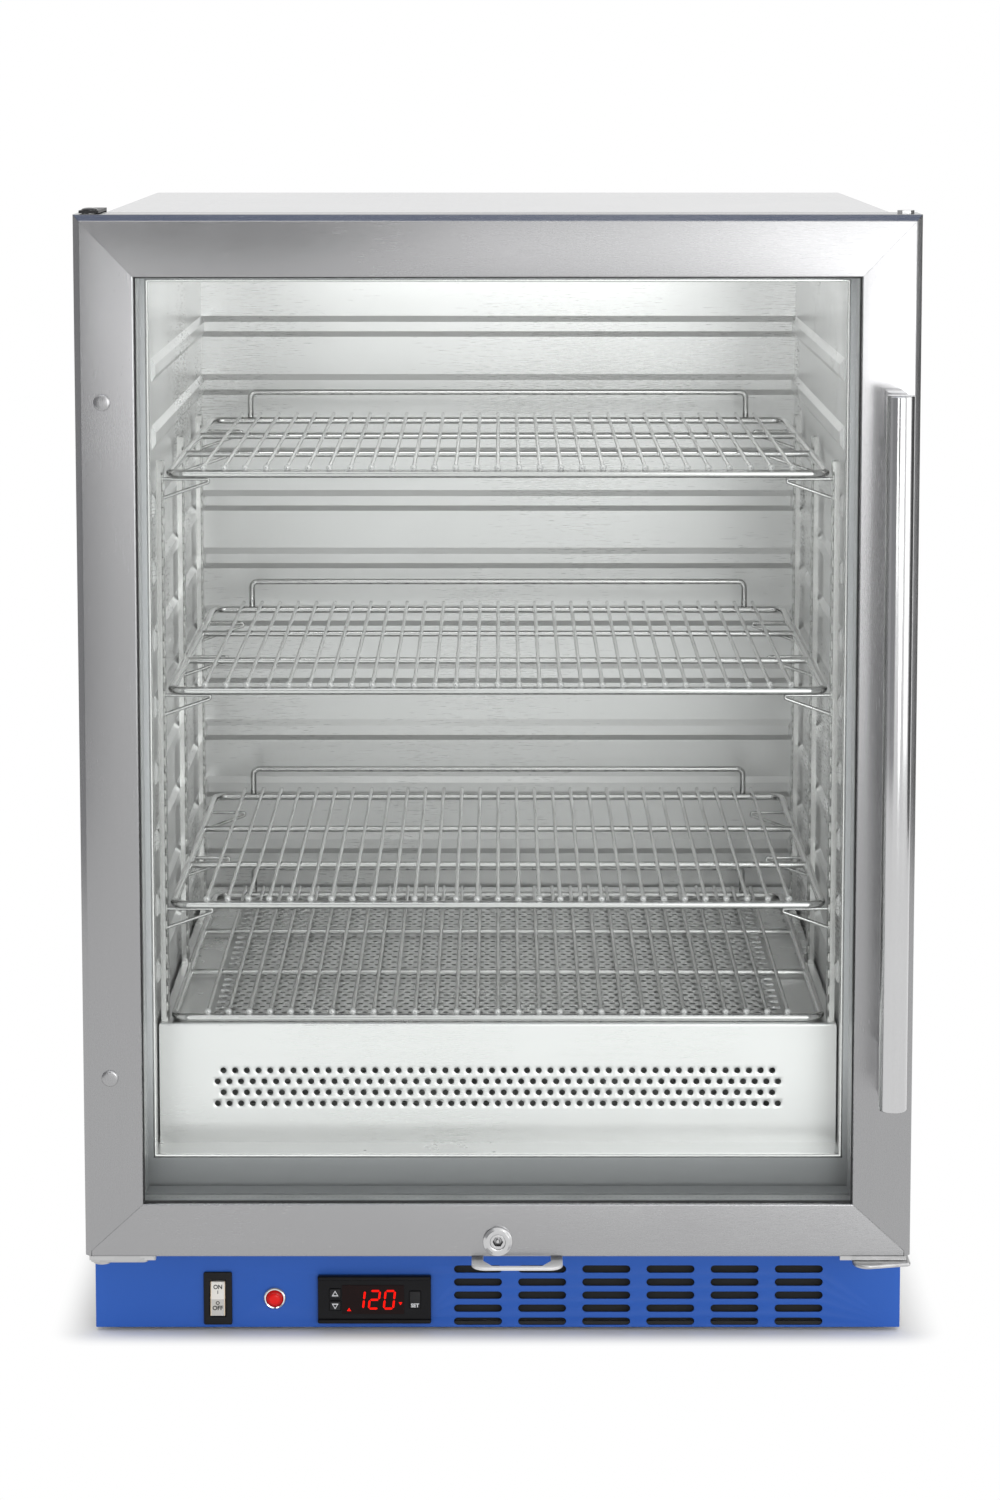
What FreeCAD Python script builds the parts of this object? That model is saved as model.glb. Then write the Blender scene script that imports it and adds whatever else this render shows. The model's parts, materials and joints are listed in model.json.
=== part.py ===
"""Blanket warming cabinet: an undercounter steel cabinet with a glass door, wire shelves and a fan heater.

Millimetres. X runs to the right, Y to the back and Z up. The origin is on the floor, under the
middle of the cabinet with its handle.
"""

import FreeCAD, Part
import math
import os
import re

import Sketcher
from FreeCAD import Placement, Rotation, Vector

doc = FreeCAD.newDocument("WarmingCabinet")
sheet = doc.addObject("Spreadsheet::Sheet", "Sizes")

# ---------------------------------------------------------------- driving sizes
SIZES = {
    # door
    "door_wide": 598,
    "door_high": 754,
    "door_deep": 43,
    "door_low": 74,  # floor to the door's lower edge
    "stile_wide": 42.5,
    "top_rail_wide": 44,
    "low_rail_wide": 39,
    "edge_bevel": 4.5,
    "lip_deep": 6,  # front lip that the glass lies behind
    "glass_cover": 11,  # how far the frame covers the glass
    "glass_slack": 1,
    "pane_thick": 4,
    "pane_gap": 12,
    "spacer_wide": 8,
    # door seal
    "seal_gap": 10,  # door's back to the cabinet's front
    "seal_slack": 0.3,
    "seal_inset": 12,
    "seal_wide": 16,
    "seal_foot": 4,
    "bulb_wide": 9,
    # handle
    "handle_reach": 56,
    "bar_radius": 10,
    "bar_long": 508,
    "bar_inset": 19.6,
    "post_wide": 13,
    "post_high": 35,
    "hole_spread": 489,  # between the two handle holes
    "plug_radius": 6,
    "plug_crown": 1.6,
    "plug_stem": 3.5,
    "plug_deep": 10,
    # hinge
    "hinge_inset": 11,  # door's side edge to the pins' axis
    "hinge_set": 14,  # door's face to the pins' axis
    "pin_radius": 4,
    "pin_fit": 0.06,
    "pin_up": 14,  # how far a pin reaches into the door
    "pin_head": 6.5,
    "pin_head_high": 2,
    "bush_radius": 6,
    "seat_fit": 0.02,
    "leaf_thick": 3,
    "leaf_wide": 48,
    "leaf_inset": 3,
    "leaf_set": 1,
    "bracket_thick": 3,
    "bracket_gap": 0.5,
    "bracket_wide": 42,
    "bracket_nose": 8,  # bracket's front edge, ahead of the pins' axis
    "spare_reach": 12,  # spare bracket's front edge, ahead of the door's face
    "spare_round": 10,
    "flange_up": 11,
    "arm_wide": 14,
    "arm_thick": 2,
    "arm_gap": 0.6,
    "arm_foot": 40,
    "arm_back": 6,
    "cap_radius": 5.75,
    "cap_high": 2,
    # cabinet shell
    "body_inset": 1.5,  # cabinet's side inside the door's edge
    "body_deep": 544,
    "top_drop": 6,  # cabinet's top below the door's top
    "wrap_thick": 1,
    "panel_thick": 1,
    "body_low": 88,  # underside of the insulated box
    "base_low": 5,
    "side_wall": 43.5,
    "cavity_low": 131,
    "roof_wall": 42,
    "back_wall": 60,
    "liner_thick": 1,
    "breaker_deep": 3,
    "rib_high": 18,
    "rib_proud": 3,
    "rib_slope": 5,
    "rib_first": 120,  # first rib above the cavity's floor
    "rib_pitch": 50,
    "rib_count": 10,
    "rib_set": 45,
    # base
    "tray_thick": 1.2,
    "rear_set": 4,
    "kick_set": 50,  # door's face to the kick panel's face
    "kick_low": 3,
    "kick_high": 81,
    "kick_thick": 1.2,
    "slot_long": 35.5,
    "slot_high": 5.6,
    "slot_columns": 6,
    "slot_rows": 5,
    "slot_pitch_x": 47.45,
    "slot_pitch_z": 9.97,
    "slot_first_x": -14.7,
    "slot_first_z": 7.4,
    "vent_long": 60,
    "vent_high": 5,
    "vent_rows": 4,
    "vent_pitch": 12,
    "vent_x": 150,
    "foot_radius": 16,
    "foot_high": 4.5,
    "foot_inset": 35.5,
    "foot_front": 45,  # foot's axis behind the cabinet's front
    "foot_back": 60,
    "stem_radius": 4,
    "stem_high": 34,
    "stem_fit": 0.08,
    "nut_radius": 9,
    "nut_high": 9,
    # controls in the kick panel
    "control_z": 25.5,
    "switch_x": -207,
    "switch_wide": 21,
    "switch_high": 40,
    "switch_proud": 2,
    "switch_deep": 26,
    "switch_rim": 4,
    "rocker_wide": 10.6,
    "rocker_high": 25,
    "rocker_gap": 0.5,
    "rocker_deep": 9,
    "rocker_crown": 2.4,
    "pivot_set": 1,  # kick panel's face to the rocker's pivot
    "pivot_radius": 1.2,
    "pivot_long": 14.6,
    "pivot_play": 0.3,
    "lamp_x": -165,
    "lamp_radius": 8.5,
    "lamp_proud": 2.4,
    "lamp_deep": 24,
    "lamp_body": 6.5,
    "lens_radius": 6,
    "lens_crown": 2,
    "dial_x": -91.2,
    "dial_wide": 84,
    "dial_high": 36,
    "dial_proud": 6,
    "dial_lip": 2,
    "case_wide": 70.6,
    "case_high": 28.6,
    "case_deep": 58,
    "cutout_slack": 0.2,
    "window_wide": 46,
    "window_high": 22,
    "window_thick": 1.2,
    "window_shift": -1,
    "key_wide": 8,
    "key_high": 7,
    "key_deep": 3,
    "key_gap": 0.3,
    "key_proud": 0.9,
    "arrows_x": -29,
    "arrows_spread": 9.4,
    "set_x": 30,
    "set_high": 13,
    # heater cover
    "cover_set": 37.5,  # cabinet's front edge of the cavity to the cover's front
    "cover_high": 91.5,
    "cover_play": 1.5,
    "cover_deep": 440,
    "cover_thick": 1,
    # heater and fan
    "tube_radius": 4,
    "tube_up": 40,
    "tube_half": 170,
    "tube_bend": 28,
    "tube_set": 120,
    "bracket_x": 140,
    "bracket_deep": 90,
    "strap_thick": 2,
    "fan_set": 290,
    "fan_up": 44,
    "fan_frame": 80,
    "fan_deep": 44,
    "fan_sheet": 1.5,
    "fan_hole": 36,
    "blade_radius": 34,
    "blade_count": 5,
    "blade_thick": 1.6,
    "blade_wide": 20,
    "hub_radius": 9,
    "hub_deep": 14,
    "shaft_radius": 3,
    "shaft_in": 12,
    "motor_wide": 48,
    "motor_deep": 34,
    "motor_flange": 29,
    "probe_radius": 3,
    "probe_long": 45,
    "limit_radius": 12,
    "limit_high": 7,
    # shelves
    "shelf_play": 10,
    "shelf_set": 92,  # door's face to the front rail
    "shelf_deep": 399,
    "shelf_bays": 3,
    "shelf_pitch": 161.3,
    "lower_up": 89,  # heater cover to the lower shelf's rails
    "rail_radius": 3,
    "cross_radius": 2.5,
    "corner_radius": 11,
    "wire_radius": 1.5,
    "wire_count": 29,
    "wire_inset": 28.1,
    "wire_behind": 12,
    "guard_up": 24,
    "rest_gap": 0.3,
    # shelf supports
    "pilaster_set": 101,
    "pilaster_pitch": 171,
    "pilaster_count": 3,
    "pilaster_wide": 14,
    "pilaster_deep": 5,
    "pilaster_thick": 1.2,
    "pilaster_over": 9,
    "clip_reach": 33,
    "clip_drop": 15,
    "clip_radius": 1.25,
    "clip_in": 3,
    "clip_fit": 0.15,
    # lock
    "lock_up": 12,
    "lock_ring": 10.75,
    "ring_proud": 4,
    "barrel_radius": 8.5,
    "barrel_deep": 20,
    "plug_bore": 5.5,
    "lock_fit": 0.06,
    "key_recess": 3.8,
    "recess_deep": 5,
    "recess_pin": 1,
    "plug_sunk": 0.4,
    "cam_thick": 3,
    "cam_wide": 11,
    "cam_long": 24,
    "cam_gap": 0.5,
    "strike_wide": 66,
    "strike_shift": 14,
    "strike_reach": 15,
    "strike_thick": 2.4,
    "strike_gap": 3,
    "strike_round": 10,
    "strike_bar": 4,
    "loop_front": 36,
    "loop_back": 49,
    "loop_deep": 46,
    # power inlet and terminals
    "inlet_x": 210,
    "inlet_z": 42,
    "inlet_wide": 48,
    "inlet_high": 28,
    "inlet_proud": 4,
    "inlet_deep": 24,
    "socket_wide": 24,
    "socket_high": 16,
    "socket_deep": 17,
    "terminal_wide": 60,
    "terminal_deep": 24,
    "terminal_high": 20,
    # screws
    "screw_radius": 4,
    "screw_high": 1.8,
}

# Places worked out from the driving sizes, as formulas of the same sheet.
PLACES = {
    "all_deep": "handle_reach + door_deep + seal_gap + body_deep",
    "face_y": "handle_reach - all_deep / 2",
    "door_back_y": "face_y + door_deep",
    "front_y": "door_back_y + seal_gap",
    "back_y": "front_y + body_deep",
    "cavity_back_y": "back_y - back_wall",
    "kick_y": "face_y + kick_set",
    "body_wide": "door_wide - 2 * body_inset",
    "cavity_wide": "body_wide - 2 * side_wall",
    "cover_wide": "cavity_wide - 2 * cover_play",
    "shelf_wide": "cavity_wide - 2 * shelf_play",
    "wire_pitch": "(shelf_wide - 2 * wire_inset) / (wire_count - 1)",
    "foot_x": "body_wide / 2 - foot_inset",
    "half_door": "door_wide / 2",
    "half_body": "body_wide / 2",
    "half_box": "half_body - wrap_thick",
    "half_cavity": "cavity_wide / 2",
    "half_cover": "cover_wide / 2",
    "door_top": "door_low + door_high",
    "door_mid": "door_low + door_high / 2",
    "body_top": "door_top - top_drop",
    "box_top": "body_top - wrap_thick",
    "cavity_top": "body_top - roof_wall",
    "cover_top": "cavity_low + cover_high",
    "kick_top": "kick_low + kick_high",
    "open_half": "half_door - stile_wide",
    "open_low": "door_low + low_rail_wide",
    "open_top": "door_top - top_rail_wide",
    "inner_pane": "lip_deep + pane_thick + pane_gap",
    "bead_set": "inner_pane + pane_thick",
    "pin_x": "half_door - hinge_inset",
    "pin_y": "face_y + hinge_set",
    "leaf_low": "door_low - leaf_thick",
    "bracket_top": "leaf_low - bracket_gap",
    "arm_low": "door_top + arm_gap",
    "arm_top": "arm_low + arm_thick",
    "bar_x": "half_door - bar_inset",
    "bar_low": "door_mid - bar_long / 2",
    "bar_top": "door_mid + bar_long / 2",
    "bar_y": "face_y - handle_reach + bar_radius",
    "lock_z": "door_low + lock_up",
    "strike_top": "door_low - strike_gap",
    "tray_back": "back_y - rear_set",
    "cover_y": "front_y + cover_set",
    "tube_y": "cover_y + tube_set",
    "tube_z": "cavity_low + tube_up",
    "fan_y": "cover_y + fan_set",
    "fan_z": "cavity_low + fan_up",
    "shelf_y": "face_y + shelf_set",
    "rack_z": "cover_top + rest_gap + rail_radius",
    "lower_z": "cover_top + lower_up",
    "middle_z": "lower_z + shelf_pitch",
    "top_z": "middle_z + shelf_pitch",
    "pilaster_in": "half_cavity - rib_proud - pilaster_deep",
    "pilaster_top": "top_z + pilaster_over",
}


def word_of(name, row, content):
    """Puts one named number or formula into the sheet."""
    sheet.set(f"A{row}", name)
    sheet.set(f"B{row}", content)
    sheet.setAlias(f"B{row}", name)


for row, (name, number) in enumerate(SIZES.items(), 1):
    word_of(name, row, str(number))
for row, (name, formula) in enumerate(PLACES.items(), len(SIZES) + 1):
    word_of(name, row, "=" + formula)
doc.recompute()
ALIASES = set(SIZES) | set(PLACES)


# ---------------------------------------------------------------- drawing helpers
def tied(text):
    """The same expression with each name written as a cell of the sheet."""
    return re.sub(r"[a-z][a-z_]*", lambda m: f"Sizes.{m[0]}" if m[0] in ALIASES else m[0], str(text))


def number(text):
    """What an expression of the sheet's names comes to."""
    names = {name: float(sheet.get(name)) for name in re.findall(r"[a-z][a-z_]*", str(text))}
    for name in sorted(names, key=len, reverse=True):
        text = re.sub(rf"\b{name}\b", f"({names[name]!r})", str(text))
    return float(FreeCAD.Units.Quantity(str(text)).Value)


def bind(thing, **sizes):
    """Ties properties of an object to the sheet; a double underscore stands for a dot."""
    for name, text in sizes.items():
        thing.setExpression(name.replace("__", "."), tied(text))
    return thing


def at(thing, x=0, y=0, z=0):
    """Ties the place of an object to the sheet."""
    return bind(thing, Placement__Base__x=x, Placement__Base__y=y, Placement__Base__z=z)


def block(name, x, y, z):
    """A box whose low and high ends along each axis are expressions."""
    box = doc.addObject("Part::Box", name)
    bind(box, Length=f"({x[1]}) - ({x[0]})", Width=f"({y[1]}) - ({y[0]})", Height=f"({z[1]}) - ({z[0]})")
    return at(box, x[0], y[0], z[0])


ALONG = {"x": Rotation(Vector(0, 1, 0), 90), "y": Rotation(Vector(1, 0, 0), -90), "z": Rotation()}


def hexagon(name, axis, x, y, z, radius, length):
    """A six-sided bar or nut that starts at a point and runs along an axis."""
    nut = doc.addObject("Part::Prism", name)
    nut.Polygon = 6
    nut.Placement = Placement(Vector(), axis if isinstance(axis, Rotation) else ALONG[axis])
    return at(bind(nut, Circumradius=radius, Height=length), x, y, z)


def rod(name, axis, x, y, z, radius, length):
    """A round bar that starts at a point and runs along an axis."""
    bar = doc.addObject("Part::Cylinder", name)
    bar.Placement = Placement(Vector(), ALONG[axis])
    return at(bind(bar, Radius=radius, Height=length), x, y, z)


def joined(name, pieces):
    """Overlapping or touching pieces made one solid."""
    whole = doc.addObject("Part::MultiFuse", name)
    whole.Shapes = list(pieces)
    return whole


def grouped(name, pieces):
    """Separate solids kept together as one object."""
    group = doc.addObject("Part::Compound", name)
    group.Links = list(pieces)
    return group


def cut(name, base, *tools):
    """A base less one or more tools."""
    less = doc.addObject("Part::Cut", name)
    less.Base = base
    less.Tool = tools[0] if len(tools) == 1 else grouped(name + "_tools", tools)
    return less


def ring(name, x, y, z, wall):
    """A rectangular frame standing in the XZ plane, with the same wall all round."""
    outer = block(name + "_outer", x, y, z)
    inner = block(
        name + "_hole",
        (f"{x[0]} + {wall}", f"{x[1]} - ({wall})"),
        y,
        (f"{z[0]} + {wall}", f"{z[1]} - ({wall})"),
    )
    return cut(name, outer, inner)


def body(name):
    return doc.addObject("PartDesign::Body", name)


def sketch(owner, name, plane, offset="0"):
    """A sketch on one of a body's origin planes, shifted along the plane's normal."""
    drawn = owner.newObject("Sketcher::SketchObject", name)
    drawn.AttachmentSupport = (next(f for f in owner.Origin.OriginFeatures if f.Role == plane), "")
    drawn.MapMode = "FlatFace"
    return bind(drawn, AttachmentOffset__Base__z=offset)


def hold(drawn, kind, first, text):
    """One dimension of a sketch, tied to the sheet."""
    held = drawn.addConstraint(Sketcher.Constraint(kind, *first, number(text)))
    drawn.setExpression(f"Constraints[{held}]", tied(text))


def polygon(drawn, corners):
    """A closed outline of straight lines; each corner is a pair of expressions."""
    start = drawn.GeometryCount
    places = [Vector(number(a), number(b), 0) for a, b in corners]
    count = len(corners)
    for i in range(count):
        drawn.addGeometry(Part.LineSegment(places[i], places[(i + 1) % count]), False)
    for i in range(count):
        drawn.addConstraint(Sketcher.Constraint("Coincident", start + i, 2, start + (i + 1) % count, 1))
    for i, (across, up) in enumerate(corners):
        hold(drawn, "DistanceX", (-1, 1, start + i, 1), across)
        hold(drawn, "DistanceY", (-1, 1, start + i, 1), up)
    return drawn


def rectangle(drawn, across, up):
    """A rectangle between two ends along each sketch axis."""
    return polygon(drawn, [(across[i], up[j]) for i, j in ((0, 0), (1, 0), (1, 1), (0, 1))])


def circle(drawn, across, up, radius):
    """A circle about a point."""
    index = drawn.addGeometry(
        Part.Circle(Vector(number(across), number(up), 0), Vector(0, 0, 1), number(radius)), False
    )
    hold(drawn, "Radius", (index,), radius)
    hold(drawn, "DistanceX", (-1, 1, index, 3), across)
    hold(drawn, "DistanceY", (-1, 1, index, 3), up)
    return drawn


def slot(drawn, across, up, long, high):
    """A slot centred on a point; each end is half an octagon."""
    corners = []
    for end in (1, -1):
        for turn in (-67.5, -22.5, 22.5, 67.5):
            out = end * math.cos(math.radians(turn)) / math.cos(math.pi / 8) / 2
            rise = end * math.sin(math.radians(turn)) / math.cos(math.pi / 8) / 2
            corners.append(
                (
                    f"{across} + {end} * ({long} - {high}) / 2 + {out:.5f} * {high}",
                    f"{up} + {rise:.5f} * {high}",
                )
            )
    return polygon(drawn, corners)


def pad(owner, drawn, length, reverse=False, middle=False):
    """Material added along the sketch's normal, or both ways from it."""
    added = owner.newObject("PartDesign::Pad", drawn.Name + "_pad")
    added.Profile = drawn
    added.Reversed = reverse
    added.Midplane = middle
    bind(added, Length=length)
    owner.Tip = added
    return added


def pocket(owner, drawn, length=None, reverse=False):
    """Material taken away against the sketch's normal, or right through both ways."""
    taken = owner.newObject("PartDesign::Pocket", drawn.Name + "_pocket")
    taken.Profile = drawn
    taken.Reversed = reverse
    if length is None:
        taken.Midplane = True
        taken.Type = "ThroughAll"
    else:
        bind(taken, Length=length)
    owner.Tip = taken
    return taken


def turned(owner, drawn):
    """A profile turned a full circle about its sketch's upright axis."""
    spun = owner.newObject("PartDesign::Revolution", drawn.Name + "_turned")
    spun.Profile = drawn
    spun.ReferenceAxis = (drawn, ["V_Axis"])
    spun.Angle = 360
    owner.Tip = spun
    return spun


def repeated(owner, feature, drawn, runs):
    """A feature repeated along the sketch's axes: each run is (axis, pitch, count)."""
    many = owner.newObject("PartDesign::MultiTransform", feature.Name + "_many")
    many.Originals = [feature]
    steps = []
    for axis, pitch, count in runs:
        step = owner.newObject("PartDesign::LinearPattern", f"{feature.Name}_{axis[0]}")
        step.Direction = (drawn, [axis])
        bind(step, Length=f"{pitch} * ({count} - 1)", Occurrences=count)
        steps.append(step)
    many.Transformations = steps
    owner.Tip = many
    return many


def lathe(name, profile, axis, x, y, z):
    """A turned piece: (radius, height) corners, with its height along an axis from a point."""
    piece = body(name)
    turned(piece, polygon(sketch(piece, name + "_profile", "XZ_Plane"), profile))
    piece.Placement = Placement(Vector(), axis if isinstance(axis, Rotation) else ALONG[axis])
    return at(piece, x, y, z)


def soft_edges(name, base, radius, wanted):
    """Rounds those edges of a base whose middle point passes a test."""
    doc.recompute()
    rounded = doc.addObject("Part::Fillet", name)
    rounded.Base = base
    size = number(radius)
    edges = [
        (i, size, size)
        for i, edge in enumerate(base.Shape.Edges, 1)
        if wanted(edge)
    ]
    rounded.Edges = edges
    return rounded


NODES = {}


def part(node, made):
    """Keeps a finished sub-part under its own name."""
    made.Label = node
    NODES[node] = made
    return made


def loose(node, shape):
    """A sub-part of many small solids, drawn with Part's own functions."""
    made = doc.addObject("Part::Feature", node)
    made.Shape = shape
    made.Placement = Placement()
    return part(node, made)


def facing(way, radius, sides):
    """Corners of a bar's section across its way; one flat side lies level, a radius from the middle."""
    up = Vector(0, 0, 1)
    across = way.cross(up)
    if across.Length < 1e-6:
        across, up = Vector(1, 0, 0), Vector(0, 1, 0)
    up = across.cross(way)
    across.normalize()
    up.normalize()
    far = radius / math.cos(math.pi / sides)
    turns = [2 * math.pi * (i + 0.5) / sides - math.pi / 2 for i in range(sides)]
    return [across * (far * math.cos(turn)) + up * (far * math.sin(turn)) for turn in turns]


def bent_bar(path, radius, sides=6):
    """A bar along straight runs with mitred corners; a path that ends where it began is closed."""
    points = [Vector(*point) for point in path]
    section = [points[0] + corner for corner in facing(points[1] - points[0], radius, sides)]
    outline = Part.makePolygon(section + section[:1])
    return Part.makePolygon(points).makePipeShell([outline], True, False, 1)


OUT_Y = Rotation(Vector(1, 0, 0), 90)  # a turned piece that faces the front
SIDES = {"left": -1, "right": 1}


# ---------------------------------------------------------------- cabinet shell
# The outer wrap is one sheet folded over both sides and the top.
wrap = body("outer_wrap_body")
wrap_line = sketch(wrap, "wrap_line", "XZ_Plane")
polygon(
    wrap_line,
    [
        ("-half_body", "base_low"),
        ("-half_box", "base_low"),
        ("-half_box", "box_top"),
        ("half_box", "box_top"),
        ("half_box", "base_low"),
        ("half_body", "base_low"),
        ("half_body", "body_top"),
        ("-half_body", "body_top"),
    ],
)
pad(wrap, wrap_line, "body_deep", reverse=True)
part("outer_wrap", at(wrap, y="front_y"))

BOX_X, BOX_Z = ("-half_box", "half_box"), ("body_low", "box_top")
part("back_panel", block("rear_sheet", BOX_X, ("back_y - panel_thick", "back_y"), BOX_Z))

LINER_X = ("-half_cavity - liner_thick", "half_cavity + liner_thick")
LINER_Z = ("cavity_low - liner_thick", "cavity_top + liner_thick")
foam = block("foam_block", BOX_X, ("front_y + breaker_deep", "back_y - panel_thick"), BOX_Z)
hollow = block(
    "foam_hollow", LINER_X, ("front_y + breaker_deep", "cavity_back_y + liner_thick"), LINER_Z
)
part("insulation", cut("foam_box", foam, hollow))

# The liner is a deep-drawn box with pressed ribs that run round its three walls.
liner = body("liner_body")
shell = sketch(liner, "liner_shell", "XZ_Plane", "-(front_y + breaker_deep)")
rectangle(shell, LINER_X, LINER_Z)
pad(liner, shell, "cavity_back_y + liner_thick - front_y - breaker_deep", reverse=True)
mouth = sketch(liner, "liner_mouth", "XZ_Plane", "-(front_y + breaker_deep)")
rectangle(mouth, ("-half_cavity", "half_cavity"), ("cavity_low", "cavity_top"))
pocket(liner, mouth, "cavity_back_y - front_y - breaker_deep")
RIB_UP = ("cavity_low + rib_first", "cavity_low + rib_first + rib_high")


def rib_outline(drawn, wall, inward):
    """A rib's section: a flat crown with a slope above and below it."""
    crown = f"{wall} {inward} rib_proud"
    polygon(
        drawn,
        [
            (wall, RIB_UP[0]),
            (crown, f"{RIB_UP[0]} + rib_slope"),
            (crown, f"{RIB_UP[1]} - rib_slope"),
            (wall, RIB_UP[1]),
        ],
    )


for side, wall, inward in (("left", "-half_cavity", "+"), ("right", "half_cavity", "-")):
    line = sketch(liner, f"rib_{side}", "XZ_Plane", "-cavity_back_y")
    rib_outline(line, wall, inward)
    rib = pad(liner, line, "body_deep - back_wall - rib_set")
    repeated(liner, rib, line, [("V_Axis", "rib_pitch", "rib_count")])
line = sketch(liner, "rib_back", "YZ_Plane")
rib_outline(line, "cavity_back_y", "-")
rib = pad(liner, line, "cavity_wide", middle=True)
repeated(liner, rib, line, [("V_Axis", "rib_pitch", "rib_count")])
part("inner_liner", liner)

breaker = block("breaker_plate", BOX_X, ("front_y", "front_y + breaker_deep"), BOX_Z)
breaker_hole = block(
    "breaker_hole",
    ("-half_cavity", "half_cavity"),
    ("front_y", "front_y + breaker_deep"),
    ("cavity_low", "cavity_top"),
)
part("front_breaker", cut("breaker_frame", breaker, breaker_hole))

# ---------------------------------------------------------------- base
# The base tray carries the box: a folded sheet with welded nuts for the feet and a vented rear panel.
TRAY_X = ("-half_box", "half_box")
tray_block = block("tray_block", TRAY_X, ("front_y", "tray_back"), ("base_low", "body_low"))
tray_hollow = block(
    "tray_hollow",
    ("-half_box + tray_thick", "half_box - tray_thick"),
    ("front_y", "tray_back"),
    ("base_low + tray_thick", "body_low"),
)
FEET = {
    "foot_front_left": ("-foot_x", "front_y + foot_front"),
    "foot_front_right": ("foot_x", "front_y + foot_front"),
    "foot_back_left": ("-foot_x", "back_y - foot_back"),
    "foot_back_right": ("foot_x", "back_y - foot_back"),
}
nuts, bores = [], []
for foot, (x, y) in FEET.items():
    nuts.append(hexagon(f"{foot}_nut", "z", x, y, "base_low", "nut_radius", "nut_high"))
    bores.append(rod(f"{foot}_bore", "z", x, y, "base_low", "stem_radius + stem_fit", "nut_high"))
rear_vents = [
    block(
        f"rear_vent_{side}_{i}",
        (f"{sign} * vent_x - vent_long / 2", f"{sign} * vent_x + vent_long / 2"),
        ("tray_back - tray_thick", "tray_back"),
        (f"base_low + {i + 1} * vent_pitch", f"base_low + {i + 1} * vent_pitch + vent_high"),
    )
    for side, sign in (("left", -1), ("middle", 0))
    for i in range(int(number("vent_rows")))
]
INLET_X = ("inlet_x - inlet_wide / 2", "inlet_x + inlet_wide / 2")
INLET_Z = ("inlet_z - inlet_high / 2", "inlet_z + inlet_high / 2")
inlet_hole = block(
    "inlet_hole",
    ("inlet_x - inlet_wide / 2 + inlet_proud", "inlet_x + inlet_wide / 2 - inlet_proud"),
    ("tray_back - tray_thick", "tray_back"),
    ("inlet_z - inlet_high / 2 + inlet_proud / 2", "inlet_z + inlet_high / 2 - inlet_proud / 2"),
)
tray_shell = cut("tray_shell", tray_block, tray_hollow)
tray_whole = joined("tray_whole", [tray_shell, *nuts])
part("base_tray", cut("tray_cut", tray_whole, *bores))
rear_plate = block(
    "rear_plate",
    ("-half_box + tray_thick", "half_box - tray_thick"),
    ("tray_back - tray_thick", "tray_back"),
    ("base_low + tray_thick", "body_low"),
)
part("base_rear_panel", cut("rear_plate_cut", rear_plate, *rear_vents, inlet_hole))

for foot, (x, y) in FEET.items():
    base = hexagon(f"{foot}_base", "z", x, y, "0", "foot_radius", "foot_high")
    stem = rod(f"{foot}_stem", "z", x, y, "foot_high", "stem_radius", "stem_high - foot_high")
    part(foot, joined(f"{foot}_whole", [base, stem]))

# The kick panel is a shallow folded tray, slotted in front of the warm air's way out.
kick = body("kick_body")
kick_line = sketch(kick, "kick_line", "XZ_Plane")
rectangle(kick_line, ("-half_body", "half_body"), ("kick_low", "kick_top"))
pad(kick, kick_line, "front_y - kick_y", reverse=True)
kick_back = sketch(kick, "kick_back", "XZ_Plane", "-kick_thick")
rectangle(
    kick_back,
    ("-half_body + kick_thick", "half_body - kick_thick"),
    ("kick_low + kick_thick", "kick_top - kick_thick"),
)
pocket(kick, kick_back, "front_y - kick_y")
slot_line = sketch(kick, "slot_line", "XZ_Plane")
slot(slot_line, "slot_first_x", "slot_first_z", "slot_long", "slot_high")
first_slot = pocket(kick, slot_line)
repeated(
    kick,
    first_slot,
    slot_line,
    [("H_Axis", "slot_pitch_x", "slot_columns"), ("V_Axis", "slot_pitch_z", "slot_rows")],
)
holes = sketch(kick, "control_holes", "XZ_Plane")
for x, wide, high in (
    ("switch_x", "switch_wide - switch_rim", "switch_high - switch_rim"),
    ("dial_x", "case_wide", "case_high"),
):
    rectangle(
        holes,
        (f"{x} - ({wide}) / 2 - cutout_slack", f"{x} + ({wide}) / 2 + cutout_slack"),
        (f"control_z - ({high}) / 2 - cutout_slack", f"control_z + ({high}) / 2 + cutout_slack"),
    )
circle(holes, "lamp_x", "control_z", "lamp_body + cutout_slack")
pocket(kick, holes)
part("kick_panel", at(kick, y="kick_y"))

# ---------------------------------------------------------------- controls
# Rocker switch: a black bezel and barrel, with the rocker on a cross pin inside it.
SWITCH_Z = ("control_z - switch_high / 2", "control_z + switch_high / 2")
bezel_flange = block(
    "switch_flange",
    ("switch_x - switch_wide / 2", "switch_x + switch_wide / 2"),
    ("kick_y - switch_proud", "kick_y"),
    SWITCH_Z,
)
bezel_body = block(
    "switch_barrel",
    ("switch_x - (switch_wide - switch_rim) / 2", "switch_x + (switch_wide - switch_rim) / 2"),
    ("kick_y", "kick_y + switch_deep"),
    (
        "control_z - (switch_high - switch_rim) / 2",
        "control_z + (switch_high - switch_rim) / 2",
    ),
)
bezel_well = block(
    "switch_well",
    (
        "switch_x - rocker_wide / 2 - rocker_gap",
        "switch_x + rocker_wide / 2 + rocker_gap",
    ),
    ("kick_y - switch_proud", "kick_y - switch_proud + rocker_deep + 4"),
    (
        "control_z - rocker_high / 2 - 3 * rocker_gap",
        "control_z + rocker_high / 2 + 3 * rocker_gap",
    ),
)
PIVOT = ("kick_y + pivot_set", "control_z")
pivot_hole = rod(
    "switch_pivot_hole",
    "x",
    "switch_x - pivot_long / 2 - pivot_play",
    *PIVOT,
    "pivot_radius + pin_fit",
    "pivot_long + 2 * pivot_play",
)
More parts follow.
